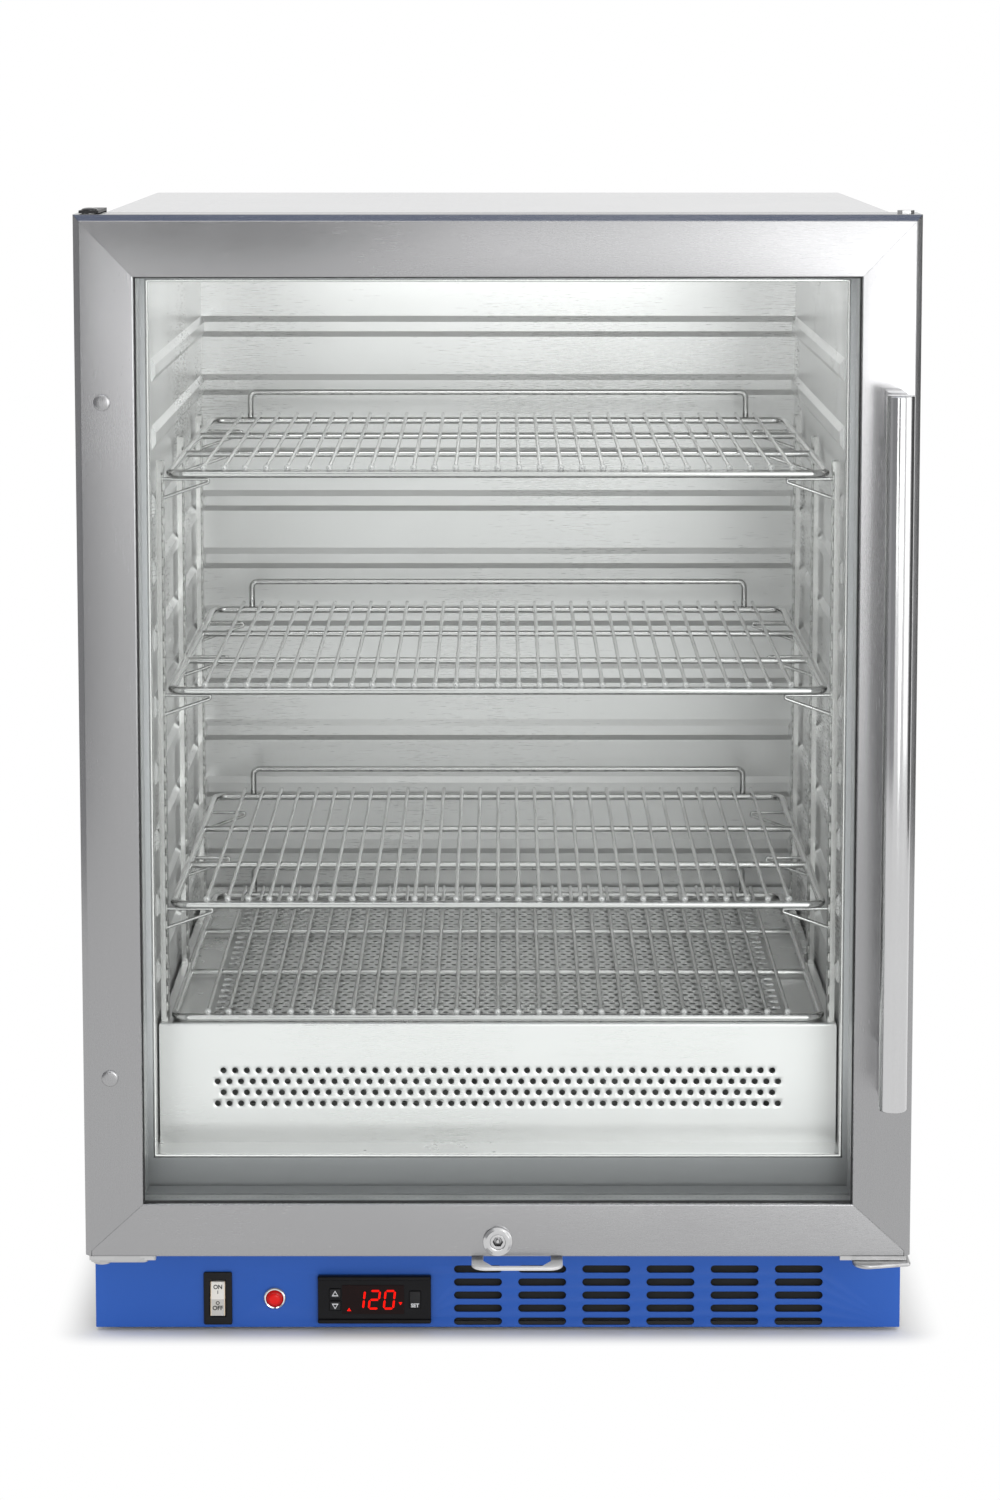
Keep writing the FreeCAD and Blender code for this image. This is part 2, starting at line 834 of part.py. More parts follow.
part(
    "switch_bezel",
    cut("switch_cut", joined("switch_whole", [bezel_flange, bezel_body]), bezel_well, pivot_hole),
)

# The rocker has two faces that meet at a shallow kink; its upper half starts pressed in.
rocker = body("rocker_body")
rocker_line = sketch(rocker, "rocker_line", "YZ_Plane")
FACE_Y = "kick_y - switch_proud"
polygon(
    rocker_line,
    [
        (f"{FACE_Y} + 1.2", "control_z + rocker_high / 2"),
        (f"{FACE_Y} - rocker_crown / 3", "control_z"),
        (f"{FACE_Y} - rocker_crown", "control_z - rocker_high / 2"),
        (f"{FACE_Y} + rocker_deep / 2", "control_z - rocker_high / 2"),
        (f"{FACE_Y} + rocker_deep", "control_z - rocker_high / 6"),
        (f"{FACE_Y} + rocker_deep", "control_z + rocker_high / 6"),
        (f"{FACE_Y} + rocker_deep / 2", "control_z + rocker_high / 2"),
    ],
)
pad(rocker, rocker_line, "rocker_wide", middle=True)
pivot = rod("rocker_pivot", "x", "switch_x - pivot_long / 2", *PIVOT, "pivot_radius", "pivot_long")
part("rocker", joined("rocker_whole", [at(rocker, x="switch_x"), pivot]))

# Pilot lamp: a chromed bezel on a threaded barrel, with a domed lens.
part(
    "lamp_bezel",
    lathe(
        "lamp_turned",
        [
            ("lens_radius", "-lamp_proud"),
            ("lens_radius", "lamp_proud"),
            ("lamp_radius", "lamp_proud"),
            ("lamp_radius", "0"),
            ("lamp_body", "0"),
            ("lamp_body", "-lamp_deep"),
            ("0", "-lamp_deep"),
            ("0", "-lamp_proud"),
        ],
        OUT_Y,
        "lamp_x",
        "kick_y",
        "control_z",
    ),
)
LENS_Y = "kick_y - lamp_proud - lens_crown"
LENS_LONG = "2 * lamp_proud + lens_crown"
part("lamp_lens", rod("lens_rod", "y", "lamp_x", LENS_Y, "control_z", "lens_radius", LENS_LONG))

# Controller: a case behind the panel, and a front with lips above and below its window and keys.
DIAL_X = ("dial_x - dial_wide / 2", "dial_x + dial_wide / 2")
DIAL_Z = ("control_z - dial_high / 2", "control_z + dial_high / 2")
part(
    "controller_case",
    block(
        "case_block",
        ("dial_x - case_wide / 2", "dial_x + case_wide / 2"),
        ("kick_y", "kick_y + case_deep"),
        ("control_z - case_high / 2", "control_z + case_high / 2"),
    ),
)
front_block = block("front_block", DIAL_X, ("kick_y - dial_proud", "kick_y"), DIAL_Z)
front_dish = block(
    "front_dish",
    DIAL_X,
    ("kick_y - dial_proud", "kick_y - dial_proud + dial_lip"),
    (f"{DIAL_Z[0]} + dial_lip", f"{DIAL_Z[1]} - dial_lip"),
)
WINDOW_X = (
    "dial_x + window_shift - window_wide / 2",
    "dial_x + window_shift + window_wide / 2",
)
WINDOW_Z = ("control_z - window_high / 2", "control_z + window_high / 2")
DISH_Y = "kick_y - dial_proud + dial_lip"
window_seat = block("window_seat", WINDOW_X, (DISH_Y, f"{DISH_Y} + window_thick"), WINDOW_Z)
KEYS = {
    "key_up": ("arrows_x", "arrows_spread / 2", "key_wide", "key_high"),
    "key_down": ("arrows_x", "-arrows_spread / 2", "key_wide", "key_high"),
    "key_set": ("set_x", "0", "key_wide", "set_high"),
}
key_wells = []
for key, (x, up, wide, high) in KEYS.items():
    key_x = (f"dial_x + {x} - {wide} / 2", f"dial_x + {x} + {wide} / 2")
    key_z = (f"control_z + {up} - {high} / 2", f"control_z + {up} + {high} / 2")
    key_wells.append(
        block(
            f"{key}_well",
            (f"{key_x[0]} - key_gap", f"{key_x[1]} + key_gap"),
            (DISH_Y, f"{DISH_Y} + key_deep"),
            (f"{key_z[0]} - key_gap", f"{key_z[1]} + key_gap"),
        )
    )
    part(
        key,
        block(
            f"{key}_cap",
            key_x,
            (f"{DISH_Y} - key_proud", f"{DISH_Y} + key_deep - key_proud - key_gap"),
            key_z,
        ),
    )
part("controller_front", cut("front_cut", front_block, front_dish, window_seat, *key_wells))
part(
    "display_window",
    block("window_pane", WINDOW_X, (DISH_Y, f"{DISH_Y} + window_thick"), WINDOW_Z),
)

# ---------------------------------------------------------------- heater, fan and sensors
# The heater cover is a folded box, open below and behind, that the bottom rack lies on.
cover_block = block(
    "cover_block",
    ("-half_cover", "half_cover"),
    ("cover_y", "cover_y + cover_deep"),
    ("cavity_low", "cover_top"),
)
cover_hollow = block(
    "cover_hollow",
    ("-half_cover + cover_thick", "half_cover - cover_thick"),
    ("cover_y + cover_thick", "cover_y + cover_deep"),
    ("cavity_low", "cover_top - cover_thick"),
)
part("heater_cover", cut("cover_shell", cover_block, cover_hollow))

# The heating element is one steel tube bent into a hairpin that lies in two notched straps.
BENDS = 4
element = []
for i in range(2 * BENDS + 1):
    turn = math.radians(-90 + 90 * i / BENDS)
    element.append(
        (
            number("tube_half - tube_bend") + number("tube_bend") * math.cos(turn),
            number("tube_y + tube_bend") + number("tube_bend") * math.sin(turn),
            number("tube_z"),
        )
    )
element.insert(0, (number("-tube_half"), number("tube_y"), number("tube_z")))
element.append((number("-tube_half"), number("tube_y + 2 * tube_bend"), number("tube_z")))
loose("heating_element", bent_bar(element, number("tube_radius"), sides=8))

straps = []
for side, sign in SIDES.items():
    x = f"{sign} * bracket_x"
    strap_x = (f"{x} - strap_thick / 2", f"{x} + strap_thick / 2")
    plate = block(
        f"strap_{side}_plate",
        strap_x,
        ("tube_y + tube_bend - bracket_deep / 2", "tube_y + tube_bend + bracket_deep / 2"),
        ("cavity_low", "tube_z + 2 * tube_radius"),
    )
    notches = []
    for i in range(2):
        tube_at = f"tube_y + {2 * i} * tube_bend"
        notches.append(
            block(
                f"strap_{side}_notch_{i}",
                strap_x,
                (f"{tube_at} - tube_radius - seat_fit", f"{tube_at} + tube_radius + seat_fit"),
                ("tube_z - tube_radius", "tube_z + 2 * tube_radius"),
            )
        )
    straps.append(cut(f"strap_{side}", plate, *notches))
part("element_straps", grouped("straps", straps))

# The fan blows forward over the element; its five blades stand on a five-sided hub. Its frame
# stands on the cavity's floor.
FRAME_X = ("-fan_frame / 2", "fan_frame / 2")
FRAME_Z = ("cavity_low", "cavity_low + fan_up + fan_frame / 2")
frame_block = block("fan_block", FRAME_X, ("fan_y", "fan_y + fan_deep"), FRAME_Z)
frame_hollow = block(
    "fan_hollow",
    ("-fan_frame / 2 + fan_sheet", "fan_frame / 2 - fan_sheet"),
    ("fan_y + fan_sheet", "fan_y + fan_deep - fan_sheet"),
    (FRAME_Z[0], f"{FRAME_Z[1]} + fan_sheet"),
)
air_hole = rod("fan_air_hole", "y", "0", "fan_y", "fan_z", "fan_hole", "fan_sheet")
MOTOR = "motor_wide / 2 + seat_fit"
motor_hole = block(
    "fan_motor_hole",
    (f"-({MOTOR})", MOTOR),
    ("fan_y + fan_deep - fan_sheet", "fan_y + fan_deep"),
    (f"fan_z - ({MOTOR})", f"fan_z + {MOTOR}"),
)
part("fan_shroud", cut("fan_frame_cut", frame_block, frame_hollow, air_hole, motor_hole))
MOTOR_FRONT = "fan_y + fan_deep - motor_deep / 2"
core = block(
    "motor_core",
    ("-motor_wide / 2", "motor_wide / 2"),
    (MOTOR_FRONT, f"{MOTOR_FRONT} + motor_deep"),
    ("fan_z - motor_wide / 2", "fan_z + motor_wide / 2"),
)
flange = block(
    "motor_flange_plate",
    ("-motor_flange", "motor_flange"),
    ("fan_y + fan_deep", "fan_y + fan_deep + 2"),
    ("fan_z - motor_flange", "fan_z + motor_flange"),
)
shaft_bore = rod(
    "motor_bore", "y", "0", MOTOR_FRONT, "fan_z", "shaft_radius + pin_fit", "shaft_in"
)
part("fan_motor", cut("motor_cut", joined("motor_whole", [core, flange]), shaft_bore))

impeller = body("impeller_body")
hub_line = sketch(impeller, "hub_line", "XY_Plane")
SPOKES = [math.radians(72 * i + 36) for i in range(5)]
polygon(hub_line, [(f"{math.cos(a):.5f} * hub_radius", f"{math.sin(a):.5f} * hub_radius") for a in SPOKES])
pad(impeller, hub_line, "hub_deep")
blade_line = sketch(impeller, "blade_line", "YZ_Plane", "hub_radius / 2")
polygon(
    blade_line,
    [
        ("-blade_wide / 2", "hub_deep - blade_thick"),
        ("blade_wide / 2", "0"),
        ("blade_wide / 2", "blade_thick"),
        ("-blade_wide / 2", "hub_deep"),
    ],
)
blade = pad(impeller, blade_line, "blade_radius - hub_radius / 2")
blades = impeller.newObject("PartDesign::PolarPattern", "blades")
blades.Originals = [blade]
blades.Axis = (hub_line, ["N_Axis"])
blades.Angle = 360
bind(blades, Occurrences="blade_count")
impeller.Tip = blades
shaft_line = sketch(impeller, "shaft_line", "XY_Plane")
circle(shaft_line, "0", "0", "shaft_radius")
pad(impeller, shaft_line, "fan_deep - motor_deep / 2 + shaft_in - 1 - fan_sheet - 2")
impeller.Placement = Placement(Vector(), ALONG["y"])
part("fan_impeller", at(impeller, "0", "fan_y + fan_sheet + 2", "fan_z"))

probe = hexagon(
    "probe_rod",
    "y",
    "fan_frame / 2 + probe_radius",
    "fan_y + fan_sheet",
    "fan_z",
    "probe_radius",
    "probe_long",
)
limit = hexagon(
    "limit_disc",
    "x",
    "bracket_x + strap_thick / 2",
    "tube_y + tube_bend",
    "tube_z - limit_radius / 2",
    "limit_radius",
    "limit_high",
)
part("heat_sensors", grouped("sensor_pair", [probe, limit]))

# ---------------------------------------------------------------- power
inlet_flange = block("inlet_flange", INLET_X, ("tray_back", "tray_back + inlet_proud"), INLET_Z)
inlet_body = block(
    "inlet_body",
    ("inlet_x - inlet_wide / 2 + inlet_proud", "inlet_x + inlet_wide / 2 - inlet_proud"),
    ("tray_back + inlet_proud - inlet_deep", "tray_back"),
    ("inlet_z - inlet_high / 2 + inlet_proud / 2", "inlet_z + inlet_high / 2 - inlet_proud / 2"),
)
inlet_socket = block(
    "inlet_socket",
    ("inlet_x - socket_wide / 2", "inlet_x + socket_wide / 2"),
    ("tray_back + inlet_proud - socket_deep", "tray_back + inlet_proud"),
    ("inlet_z - socket_high / 2", "inlet_z + socket_high / 2"),
)
part(
    "power_inlet",
    cut("inlet_cut", joined("inlet_whole", [inlet_flange, inlet_body]), inlet_socket),
)
part(
    "terminal_block",
    block(
        "terminal_body",
        ("inlet_x - terminal_wide / 2", "inlet_x + terminal_wide / 2"),
        ("tray_back - 3 * inlet_deep - terminal_deep", "tray_back - 3 * inlet_deep"),
        ("base_low + tray_thick", "base_low + tray_thick + terminal_high"),
    ),
)

# ---------------------------------------------------------------- shelf supports
post_x, post_out = number("pilaster_in"), number("pilaster_in + pilaster_deep")
post_half, post_wall = number("pilaster_wide / 2"), number("pilaster_thick")
post_low, post_top = number("cover_top"), number("pilaster_top")
post_ys = [
    number("face_y + pilaster_set") + i * number("pilaster_pitch")
    for i in range(int(number("pilaster_count")))
]
shelf_zs = [number("lower_z"), number("middle_z"), number("top_z")]
clip_r, clip_in = number("clip_radius"), number("clip_in")
clip_hole = clip_r / math.cos(math.pi / 6) + number("clip_fit")
posts, clips = [], []
post_deep, post_high = post_out - post_x, post_top - post_low
for sign in SIDES.values():
    for post_y in post_ys:
        corner = Vector(post_x, post_y - post_half, post_low)
        outside = Part.makeBox(post_deep, 2 * post_half, post_high, corner)
        inside = Part.makeBox(
            post_deep - post_wall,
            2 * (post_half - post_wall),
            post_high,
            corner + Vector(post_wall, post_wall, 0),
        )
        channel = outside.cut(inside)
        for shelf_z in shelf_zs:
            top = shelf_z - number("rail_radius + rest_gap") - clip_r
            low = top - number("clip_drop")
            lean = (number("clip_drop") - 2 * clip_r) / (number("clip_reach") + clip_in)
            for level, slope in ((top, 0), (low, lean)):
                middle = level + slope * (clip_in - post_wall / 2)
                tall = clip_hole + slope * post_wall
                corner = Vector(post_x, post_y - clip_hole, middle - tall)
                channel = channel.cut(Part.makeBox(post_wall, 2 * clip_hole, 2 * tall, corner))
            tip = post_x - number("clip_reach")
            run = [
                (post_x + clip_in, post_y, top),
                (tip, post_y, top),
                (tip, post_y, top - 2 * clip_r),
                (post_x + clip_in, post_y, low),
            ]
            clip = bent_bar(run, clip_r)
            clips.append(clip if sign > 0 else clip.mirror(Vector(), Vector(1, 0, 0)))
        posts.append(channel if sign > 0 else channel.mirror(Vector(), Vector(1, 0, 0)))
loose("shelf_pilasters", Part.makeCompound(posts))
loose("shelf_clips", Part.makeCompound(clips))


# ---------------------------------------------------------------- shelves
def rail_path(half, front, back, z, corner):
    """The middle line of a shelf's rail: a rectangle with each corner bent in three steps."""
    middles = [
        (half - corner, front + corner, -90),
        (half - corner, back - corner, 0),
        (corner - half, back - corner, 90),
        (corner - half, front + corner, 180),
    ]
    path = [(0, front, z)]
    for x, y, start in middles:
        for step in range(4):
            turn = math.radians(start + 30 * step)
            path.append((x + corner * math.cos(turn), y + corner * math.sin(turn), z))
    return path + path[:1]


def wire_shelf(z):
    """A shelf: a bent rail, cross rails, a raised rear guard, and wires welded over them all."""
    rail, cross, wire = number("rail_radius"), number("cross_radius"), number("wire_radius")
    half = number("shelf_wide / 2") - rail
    front = number("shelf_y") + rail
    back = number("shelf_y + shelf_deep") - rail
    frame = bent_bar(rail_path(half, front, back, z, number("corner_radius")), rail)
    bars = []
    for i in range(1, int(number("shelf_bays"))):
        y = front + (back - front) * i / number("shelf_bays")
        level = z + rail - cross
        bars.append(bent_bar([(-half, y, level), (half, y, level)], cross))
    frame = frame.fuse(bars).removeSplitter()
    pitch, count = number("wire_pitch"), int(number("wire_count"))
    reach, low, up = pitch * (count / 2 - 1), z + rail, z + number("guard_up")
    guard = bent_bar([(-reach, back, low), (-reach, back, up), (reach, back, up), (reach, back, low)], cross)
    level = z + rail + wire
    wires = []
    for i in range(count):
        x = pitch * (i - (count - 1) / 2)
        wires.append(bent_bar([(x, front - rail, level), (x, back + number("wire_behind"), level)], wire))
    return Part.makeCompound([*frame.Solids, guard, *wires])


SHELVES = {
    "bottom_rack": "rack_z",
    "shelf_lower": "lower_z",
    "shelf_middle": "middle_z",
    "shelf_top": "top_z",
}
for node, level in SHELVES.items():
    loose(node, wire_shelf(number(level)))

# ---------------------------------------------------------------- door frame
# Four mitred members: a bevelled outer edge, a thin front lip and a rebate for the glass.
def member(name, long, wide, near_end, far_end, turn, x, z):
    """A member along its own X, outer edge at Z = 0, face at Y = 0; the ends follow the neighbours."""
    rail = body(name)
    front = sketch(rail, name + "_front", "XZ_Plane")
    polygon(
        front,
        [
            (f"-{long} / 2", "0"),
            (f"{long} / 2", "0"),
            (f"{long} / 2 - {far_end}", wide),
            (f"-{long} / 2 + {near_end}", wide),
        ],
    )
    pad(rail, front, "door_deep", reverse=True)
    section = sketch(rail, name + "_section", "YZ_Plane")
    rectangle(section, ("lip_deep", "door_deep + 1"), (f"{wide} - glass_cover", f"{wide} + 1"))
    polygon(section, [("-1", "-1"), ("edge_bevel + 1", "-1"), ("-1", "edge_bevel + 1")])
    pocket(rail, section)
    rail.Placement = Placement(Vector(), turn)
    return at(rail, x, "face_y", z)


def about_y(degrees):
    return Rotation(Vector(0, 1, 0), degrees)


def stile(name, near_end, far_end, turn, x):
    """A stile, as long as the door is high, at one of the door's sides."""
    return member(name, "door_high", "stile_wide", near_end, far_end, about_y(turn), x, "door_mid")


def cross_rail(name, wide, turn, z):
    """A rail, as long as the door is wide, at the door's top or bottom."""
    return member(name, "door_wide", wide, "stile_wide", "stile_wide", about_y(turn), "0", z)


low_rail = cross_rail("low_rail", "low_rail_wide", 0, "door_low")
top_rail = cross_rail("top_rail", "top_rail_wide", 180, "door_top")
left_stile = stile("left_stile", "top_rail_wide", "low_rail_wide", 90, "-half_door")
right_stile = stile("right_stile", "low_rail_wide", "top_rail_wide", -90, "half_door")


def pin_bore(name, z):
    """The hole for a hinge bush, drilled through the members where they meet at a corner."""
    return rod(name, "z", "-pin_x", "pin_y", z, "bush_radius", "pin_up")


BORE_DEEP = "barrel_deep + cam_thick + 3 * cam_gap"
lock_bore = rod("lock_bore", "y", "0", "face_y", "lock_z", "barrel_radius + seat_fit", BORE_DEEP)
cam_slot = block(
    "cam_slot",
    ("-cam_wide / 2 - 2", "cam_long + 2"),
    ("face_y + barrel_deep", "face_y + barrel_deep + cam_thick + 2 * cam_gap"),
    ("door_low", "lock_z + cam_wide / 2 + 2"),
)
part(
    "door_rail_bottom",
    cut(
        "low_rail_cut",
        low_rail,
        lock_bore,
        cam_slot,
        pin_bore("low_rail_bore", "door_low"),
    ),
)
TOP_BORE = "door_top - pin_up"
part("door_rail_top", cut("top_rail_cut", top_rail, pin_bore("top_rail_bore", TOP_BORE)))
PLUG_X, PLUG_ZS = "half_door - bar_inset", ("door_mid - hole_spread / 2", "door_mid + hole_spread / 2")
plug_holes = [
    rod(f"plug_hole_{i}", "y", f"-({PLUG_X})", "face_y", z, "plug_stem + seat_fit", "plug_deep")
    for i, z in enumerate(PLUG_ZS)
]
part(
    "door_stile_left",
    cut(
        "left_stile_cut",
        left_stile,
        *plug_holes,
        pin_bore("stile_low_bore", "door_low"),
        pin_bore("stile_top_bore", TOP_BORE),
    ),
)
part("door_stile_right", right_stile)
plugs = [
    lathe(
        f"plug_{i}",
        [
            ("0", "-plug_deep + 1"),
            ("plug_stem", "-plug_deep + 1"),
            ("plug_stem", "0"),
            ("plug_radius", "0"),
            ("plug_radius", "plug_crown"),
            ("0", "plug_crown"),
        ],
        OUT_Y,
        f"-({PLUG_X})",
        "face_y",
        z,
    )
    for i, z in enumerate(PLUG_ZS)
]
part("handle_hole_plugs", grouped("plugs", plugs))

# ---------------------------------------------------------------- door glass and seal
EDGE = "glass_cover - glass_slack"
GLASS_X = (f"-open_half - ({EDGE})", f"open_half + ({EDGE})")
GLASS_Z = (f"open_low - ({EDGE})", f"open_top + ({EDGE})")
for node, start in (("glass_outer", "lip_deep"), ("glass_inner", "inner_pane")):
    pane_y = (f"face_y + {start}", f"face_y + {start} + pane_thick")
    part(node, block(f"{node}_pane", GLASS_X, pane_y, GLASS_Z))
part(
    "glass_spacer",
    ring(
        "spacer_ring",
        ("-open_half - spacer_wide", "open_half + spacer_wide"),
        ("face_y + lip_deep + pane_thick", "face_y + inner_pane"),
        ("open_low - spacer_wide", "open_top + spacer_wide"),
        "spacer_wide",
    ),
)
part(
    "glazing_bead",
    ring(
        "bead_ring",
        ("-open_half - glass_cover", "open_half + glass_cover"),
        ("face_y + bead_set", "door_back_y"),
        ("open_low - glass_cover", "open_top + glass_cover"),
        "glass_cover",
    ),
)
seal_foot = ring(
    "seal_foot_ring",
    ("-half_door + seal_inset", "half_door - seal_inset"),
    ("door_back_y", "door_back_y + seal_foot"),
    ("door_low + seal_inset", "door_top - seal_inset"),
    "seal_wide",
)
BULB = "seal_inset + (seal_wide - bulb_wide) / 2"
seal_bulb = ring(
    "seal_bulb_ring",
    (f"-half_door + {BULB}", f"half_door - ({BULB})"),
    ("door_back_y + seal_foot", "front_y - seal_slack"),
    (f"door_low + {BULB}", f"door_top - ({BULB})"),
    "bulb_wide",
)
part("door_gasket", joined("seal_whole", [seal_foot, seal_bulb]))

# ---------------------------------------------------------------- handle
part("handle_bar", rod("bar_rod", "z", "bar_x", "bar_y", "bar_low", "bar_radius", "bar_long"))
POST_X = ("bar_x - post_wide / 2", "bar_x + post_wide / 2")
posts = []
for end, low in (("low", "bar_low"), ("top", "bar_top - post_high")):
    post = block(f"post_{end}_block", POST_X, ("bar_y", "face_y"), (low, f"{low} + post_high"))
    saddle = rod(f"post_{end}_saddle", "z", "bar_x", "bar_y", low, "bar_radius + seat_fit", "post_high")
    posts.append(cut(f"post_{end}", post, saddle))
part("handle_posts", grouped("handle_post_pair", posts))

# ---------------------------------------------------------------- hinges
# The door hangs on the left. A leaf under its corner and its top carry the two bushes; the
# right-hand corner keeps the leaf and the blanking head that a door hung the other way would use.
def bush(name, z, long):
    """A plain bush, a light press in the door and a running fit on its pin."""
    outside = rod(name + "_out", "z", "-pin_x", "pin_y", z, "bush_radius - seat_fit", long)
    bore = rod(name + "_in", "z", "-pin_x", "pin_y", z, "pin_radius + pin_fit", long)
    return cut(name, outside, bore)


LEAF_Y, LEAF_Z = ("face_y + leaf_set", "door_back_y - leaf_set"), ("leaf_low", "door_low")
LEAF_ENDS = ("half_door - leaf_inset - leaf_wide", "half_door - leaf_inset")
left_leaf = block("left_leaf", (f"-({LEAF_ENDS[1]})", f"-({LEAF_ENDS[0]})"), LEAF_Y, LEAF_Z)
leaf_hole = rod("leaf_hole", "z", "-pin_x", "pin_y", "leaf_low", "bush_radius", "leaf_thick")
fittings = [
    cut("left_leaf_cut", left_leaf, leaf_hole),
    block("right_leaf", LEAF_ENDS, LEAF_Y, LEAF_Z),
    bush("bush_low", "leaf_low", "pin_up + leaf_thick"),
    bush("bush_top", TOP_BORE, "pin_up"),
    hexagon("blanking_head", "z", "pin_x", "pin_y", "door_top", "bush_radius", "arm_gap + arm_thick"),
]
part("door_hinge_fittings", grouped("door_hinge_set", fittings))


def bracket(name, x, front):
    """A bottom bracket: a plate under the door's corner and a flange up the kick panel's face."""
    plate_z = ("bracket_top - bracket_thick", "bracket_top")
    plate = block(name + "_plate", x, (front, "kick_y"), plate_z)
    flange = block(
        name + "_flange", x, ("kick_y - bracket_thick", "kick_y"), ("bracket_top", "bracket_top + flange_up")
    )
    return joined(name, [plate, flange])


LEFT_X = ("-pin_x - bracket_nose", "-pin_x - bracket_nose + bracket_wide")
BRACKET_LOW = "bracket_top - bracket_thick"
low_bracket = bracket("low_bracket", LEFT_X, "pin_y - bracket_nose")
low_hole = rod(
    "low_bracket_hole", "z", "-pin_x", "pin_y", BRACKET_LOW, "pin_radius + seat_fit", "bracket_thick"
)
hinge_bracket = cut("low_bracket_cut", low_bracket, low_hole)

spare = bracket("spare_plate", ("half_door - bracket_wide", "half_door"), "face_y - spare_reach")
spare_x = number("half_door - bracket_wide")
spare_front = number("face_y - spare_reach")
spare_bracket = soft_edges(
    "spare_rounded",
    spare,
    "spare_round",
    lambda edge: abs(edge.CenterOfMass.y - spare_front) < 0.01
    and abs(edge.CenterOfMass.x - spare_x) < 0.01,
)
part("hinge_brackets_low", grouped("bracket_pair", [hinge_bracket, spare_bracket]))

# The top arm is joggled from the cabinet's top up over the door.
arm_line_body = body("arm_body")
arm_line = sketch(arm_line_body, "arm_line", "YZ_Plane")
polygon(
    arm_line,
    [
        ("pin_y - arm_wide / 2", "arm_low"),
        ("pin_y - arm_wide / 2", "arm_top"),
        ("front_y + arm_back + arm_thick", "arm_top"),
        ("front_y + arm_back + arm_thick", "body_top + arm_thick"),
        ("front_y + arm_foot", "body_top + arm_thick"),
        ("front_y + arm_foot", "body_top"),
        ("front_y + arm_back", "body_top"),
        ("front_y + arm_back", "arm_low"),
    ],
)
pad(arm_line_body, arm_line, "arm_wide", middle=True)
at(arm_line_body, x="-pin_x")
arm_pad = block(
    "arm_pad",
    ("-pin_x - arm_wide / 2", "-pin_x + arm_foot - arm_wide / 2"),
    ("front_y + arm_back + arm_thick", "front_y + arm_foot"),
    ("body_top", "body_top + arm_thick"),
)
arm_hole = rod("arm_hole", "z", "-pin_x", "pin_y", "arm_low", "pin_radius + seat_fit", "arm_thick")
part("hinge_arm_top", cut("arm_cut", joined("arm_whole", [arm_line_body, arm_pad]), arm_hole))

low_pin = lathe(
    "low_pin",
    [
        ("0", "-pin_head_high"),
        ("pin_head", "-pin_head_high"),
        ("pin_head", "0"),
        ("pin_radius", "0"),
        ("pin_radius", "bracket_thick + bracket_gap + leaf_thick + pin_up - 1"),
        ("0", "bracket_thick + bracket_gap + leaf_thick + pin_up - 1"),
    ],
    "z",
    "-pin_x",
    "pin_y",
    BRACKET_LOW,
)
top_pin = rod(
    "top_pin", "z", "-pin_x", "pin_y", f"{TOP_BORE} + 1", "pin_radius", "pin_up - 1 + arm_gap + arm_thick"
)
part("hinge_pins", grouped("pin_pair", [low_pin, top_pin]))
part("pin_cap", rod("cap_rod", "z", "-pin_x", "pin_y", "arm_top", "cap_radius", "cap_high"))

# ---------------------------------------------------------------- lock
# A tubular lock in the bottom rail; its cam drops through the strike's loop under the door.
part(
    "lock_barrel",
    lathe(
        "barrel_turned",
        [
            ("plug_bore + lock_fit", "-barrel_deep"),
            ("barrel_radius", "-barrel_deep"),
            ("barrel_radius", "0"),
            ("lock_ring", "0"),
            ("lock_ring", "ring_proud"),
            ("plug_bore + lock_fit", "ring_proud"),
        ],
        OUT_Y,
        "0",
        "face_y",
        "lock_z",
    ),
)
PLUG_FRONT = "face_y - ring_proud + plug_sunk"
core = rod(
    "plug_core", "y", "0", PLUG_FRONT, "lock_z", "plug_bore", "barrel_deep + ring_proud - plug_sunk"
)
recess = hexagon("plug_recess", "y", "0", PLUG_FRONT, "lock_z", "key_recess", "recess_deep")
guide = hexagon("plug_guide", "y", "0", f"{PLUG_FRONT} + 1", "lock_z", "recess_pin", "recess_deep - 1")
part("lock_plug", joined("plug_whole", [cut("plug_cut", core, recess), guide]))
cam_arm = block(
    "cam_arm",
    ("0", "cam_long"),
    ("face_y + barrel_deep", "face_y + barrel_deep + cam_thick"),
    ("lock_z - cam_wide / 2", "lock_z + cam_wide / 2"),
)
cam_eye = rod("cam_eye", "y", "0", "face_y + barrel_deep", "lock_z", "cam_wide / 2", "cam_thick")
part("lock_cam", joined("cam_whole", [cam_arm, cam_eye]))

# The strike is a plate under the door, with a loop that the cam drops through.
strike = body("strike_body")
strike_line = sketch(strike, "strike_line", "XY_Plane")
rectangle(
    strike_line,
    ("strike_shift - strike_wide / 2", "strike_shift + strike_wide / 2"),
    ("face_y - strike_reach", "kick_y"),
)
polygon(
    strike_line,
    [
        ("strike_shift - loop_front / 2", "face_y - strike_reach + strike_bar"),
        ("strike_shift + loop_front / 2", "face_y - strike_reach + strike_bar"),
        ("strike_shift + loop_back / 2", "face_y"),
        ("strike_shift + loop_back / 2", "face_y - strike_reach + loop_deep"),
        ("strike_shift - loop_back / 2", "face_y - strike_reach + loop_deep"),
        ("strike_shift - loop_back / 2", "face_y"),
    ],
)
pad(strike, strike_line, "strike_thick")
strike_flange = sketch(strike, "strike_flange", "XY_Plane", "strike_thick")
rectangle(
    strike_flange,
    ("strike_shift - strike_wide / 2", "strike_shift + strike_wide / 2"),
    ("kick_y - strike_thick", "kick_y"),
)
pad(strike, strike_flange, "flange_up")
at(strike, z="strike_top - strike_thick")
strike_front = number("face_y - strike_reach")
strike_sides = [number(f"strike_shift {s} strike_wide / 2") for s in "-+"]
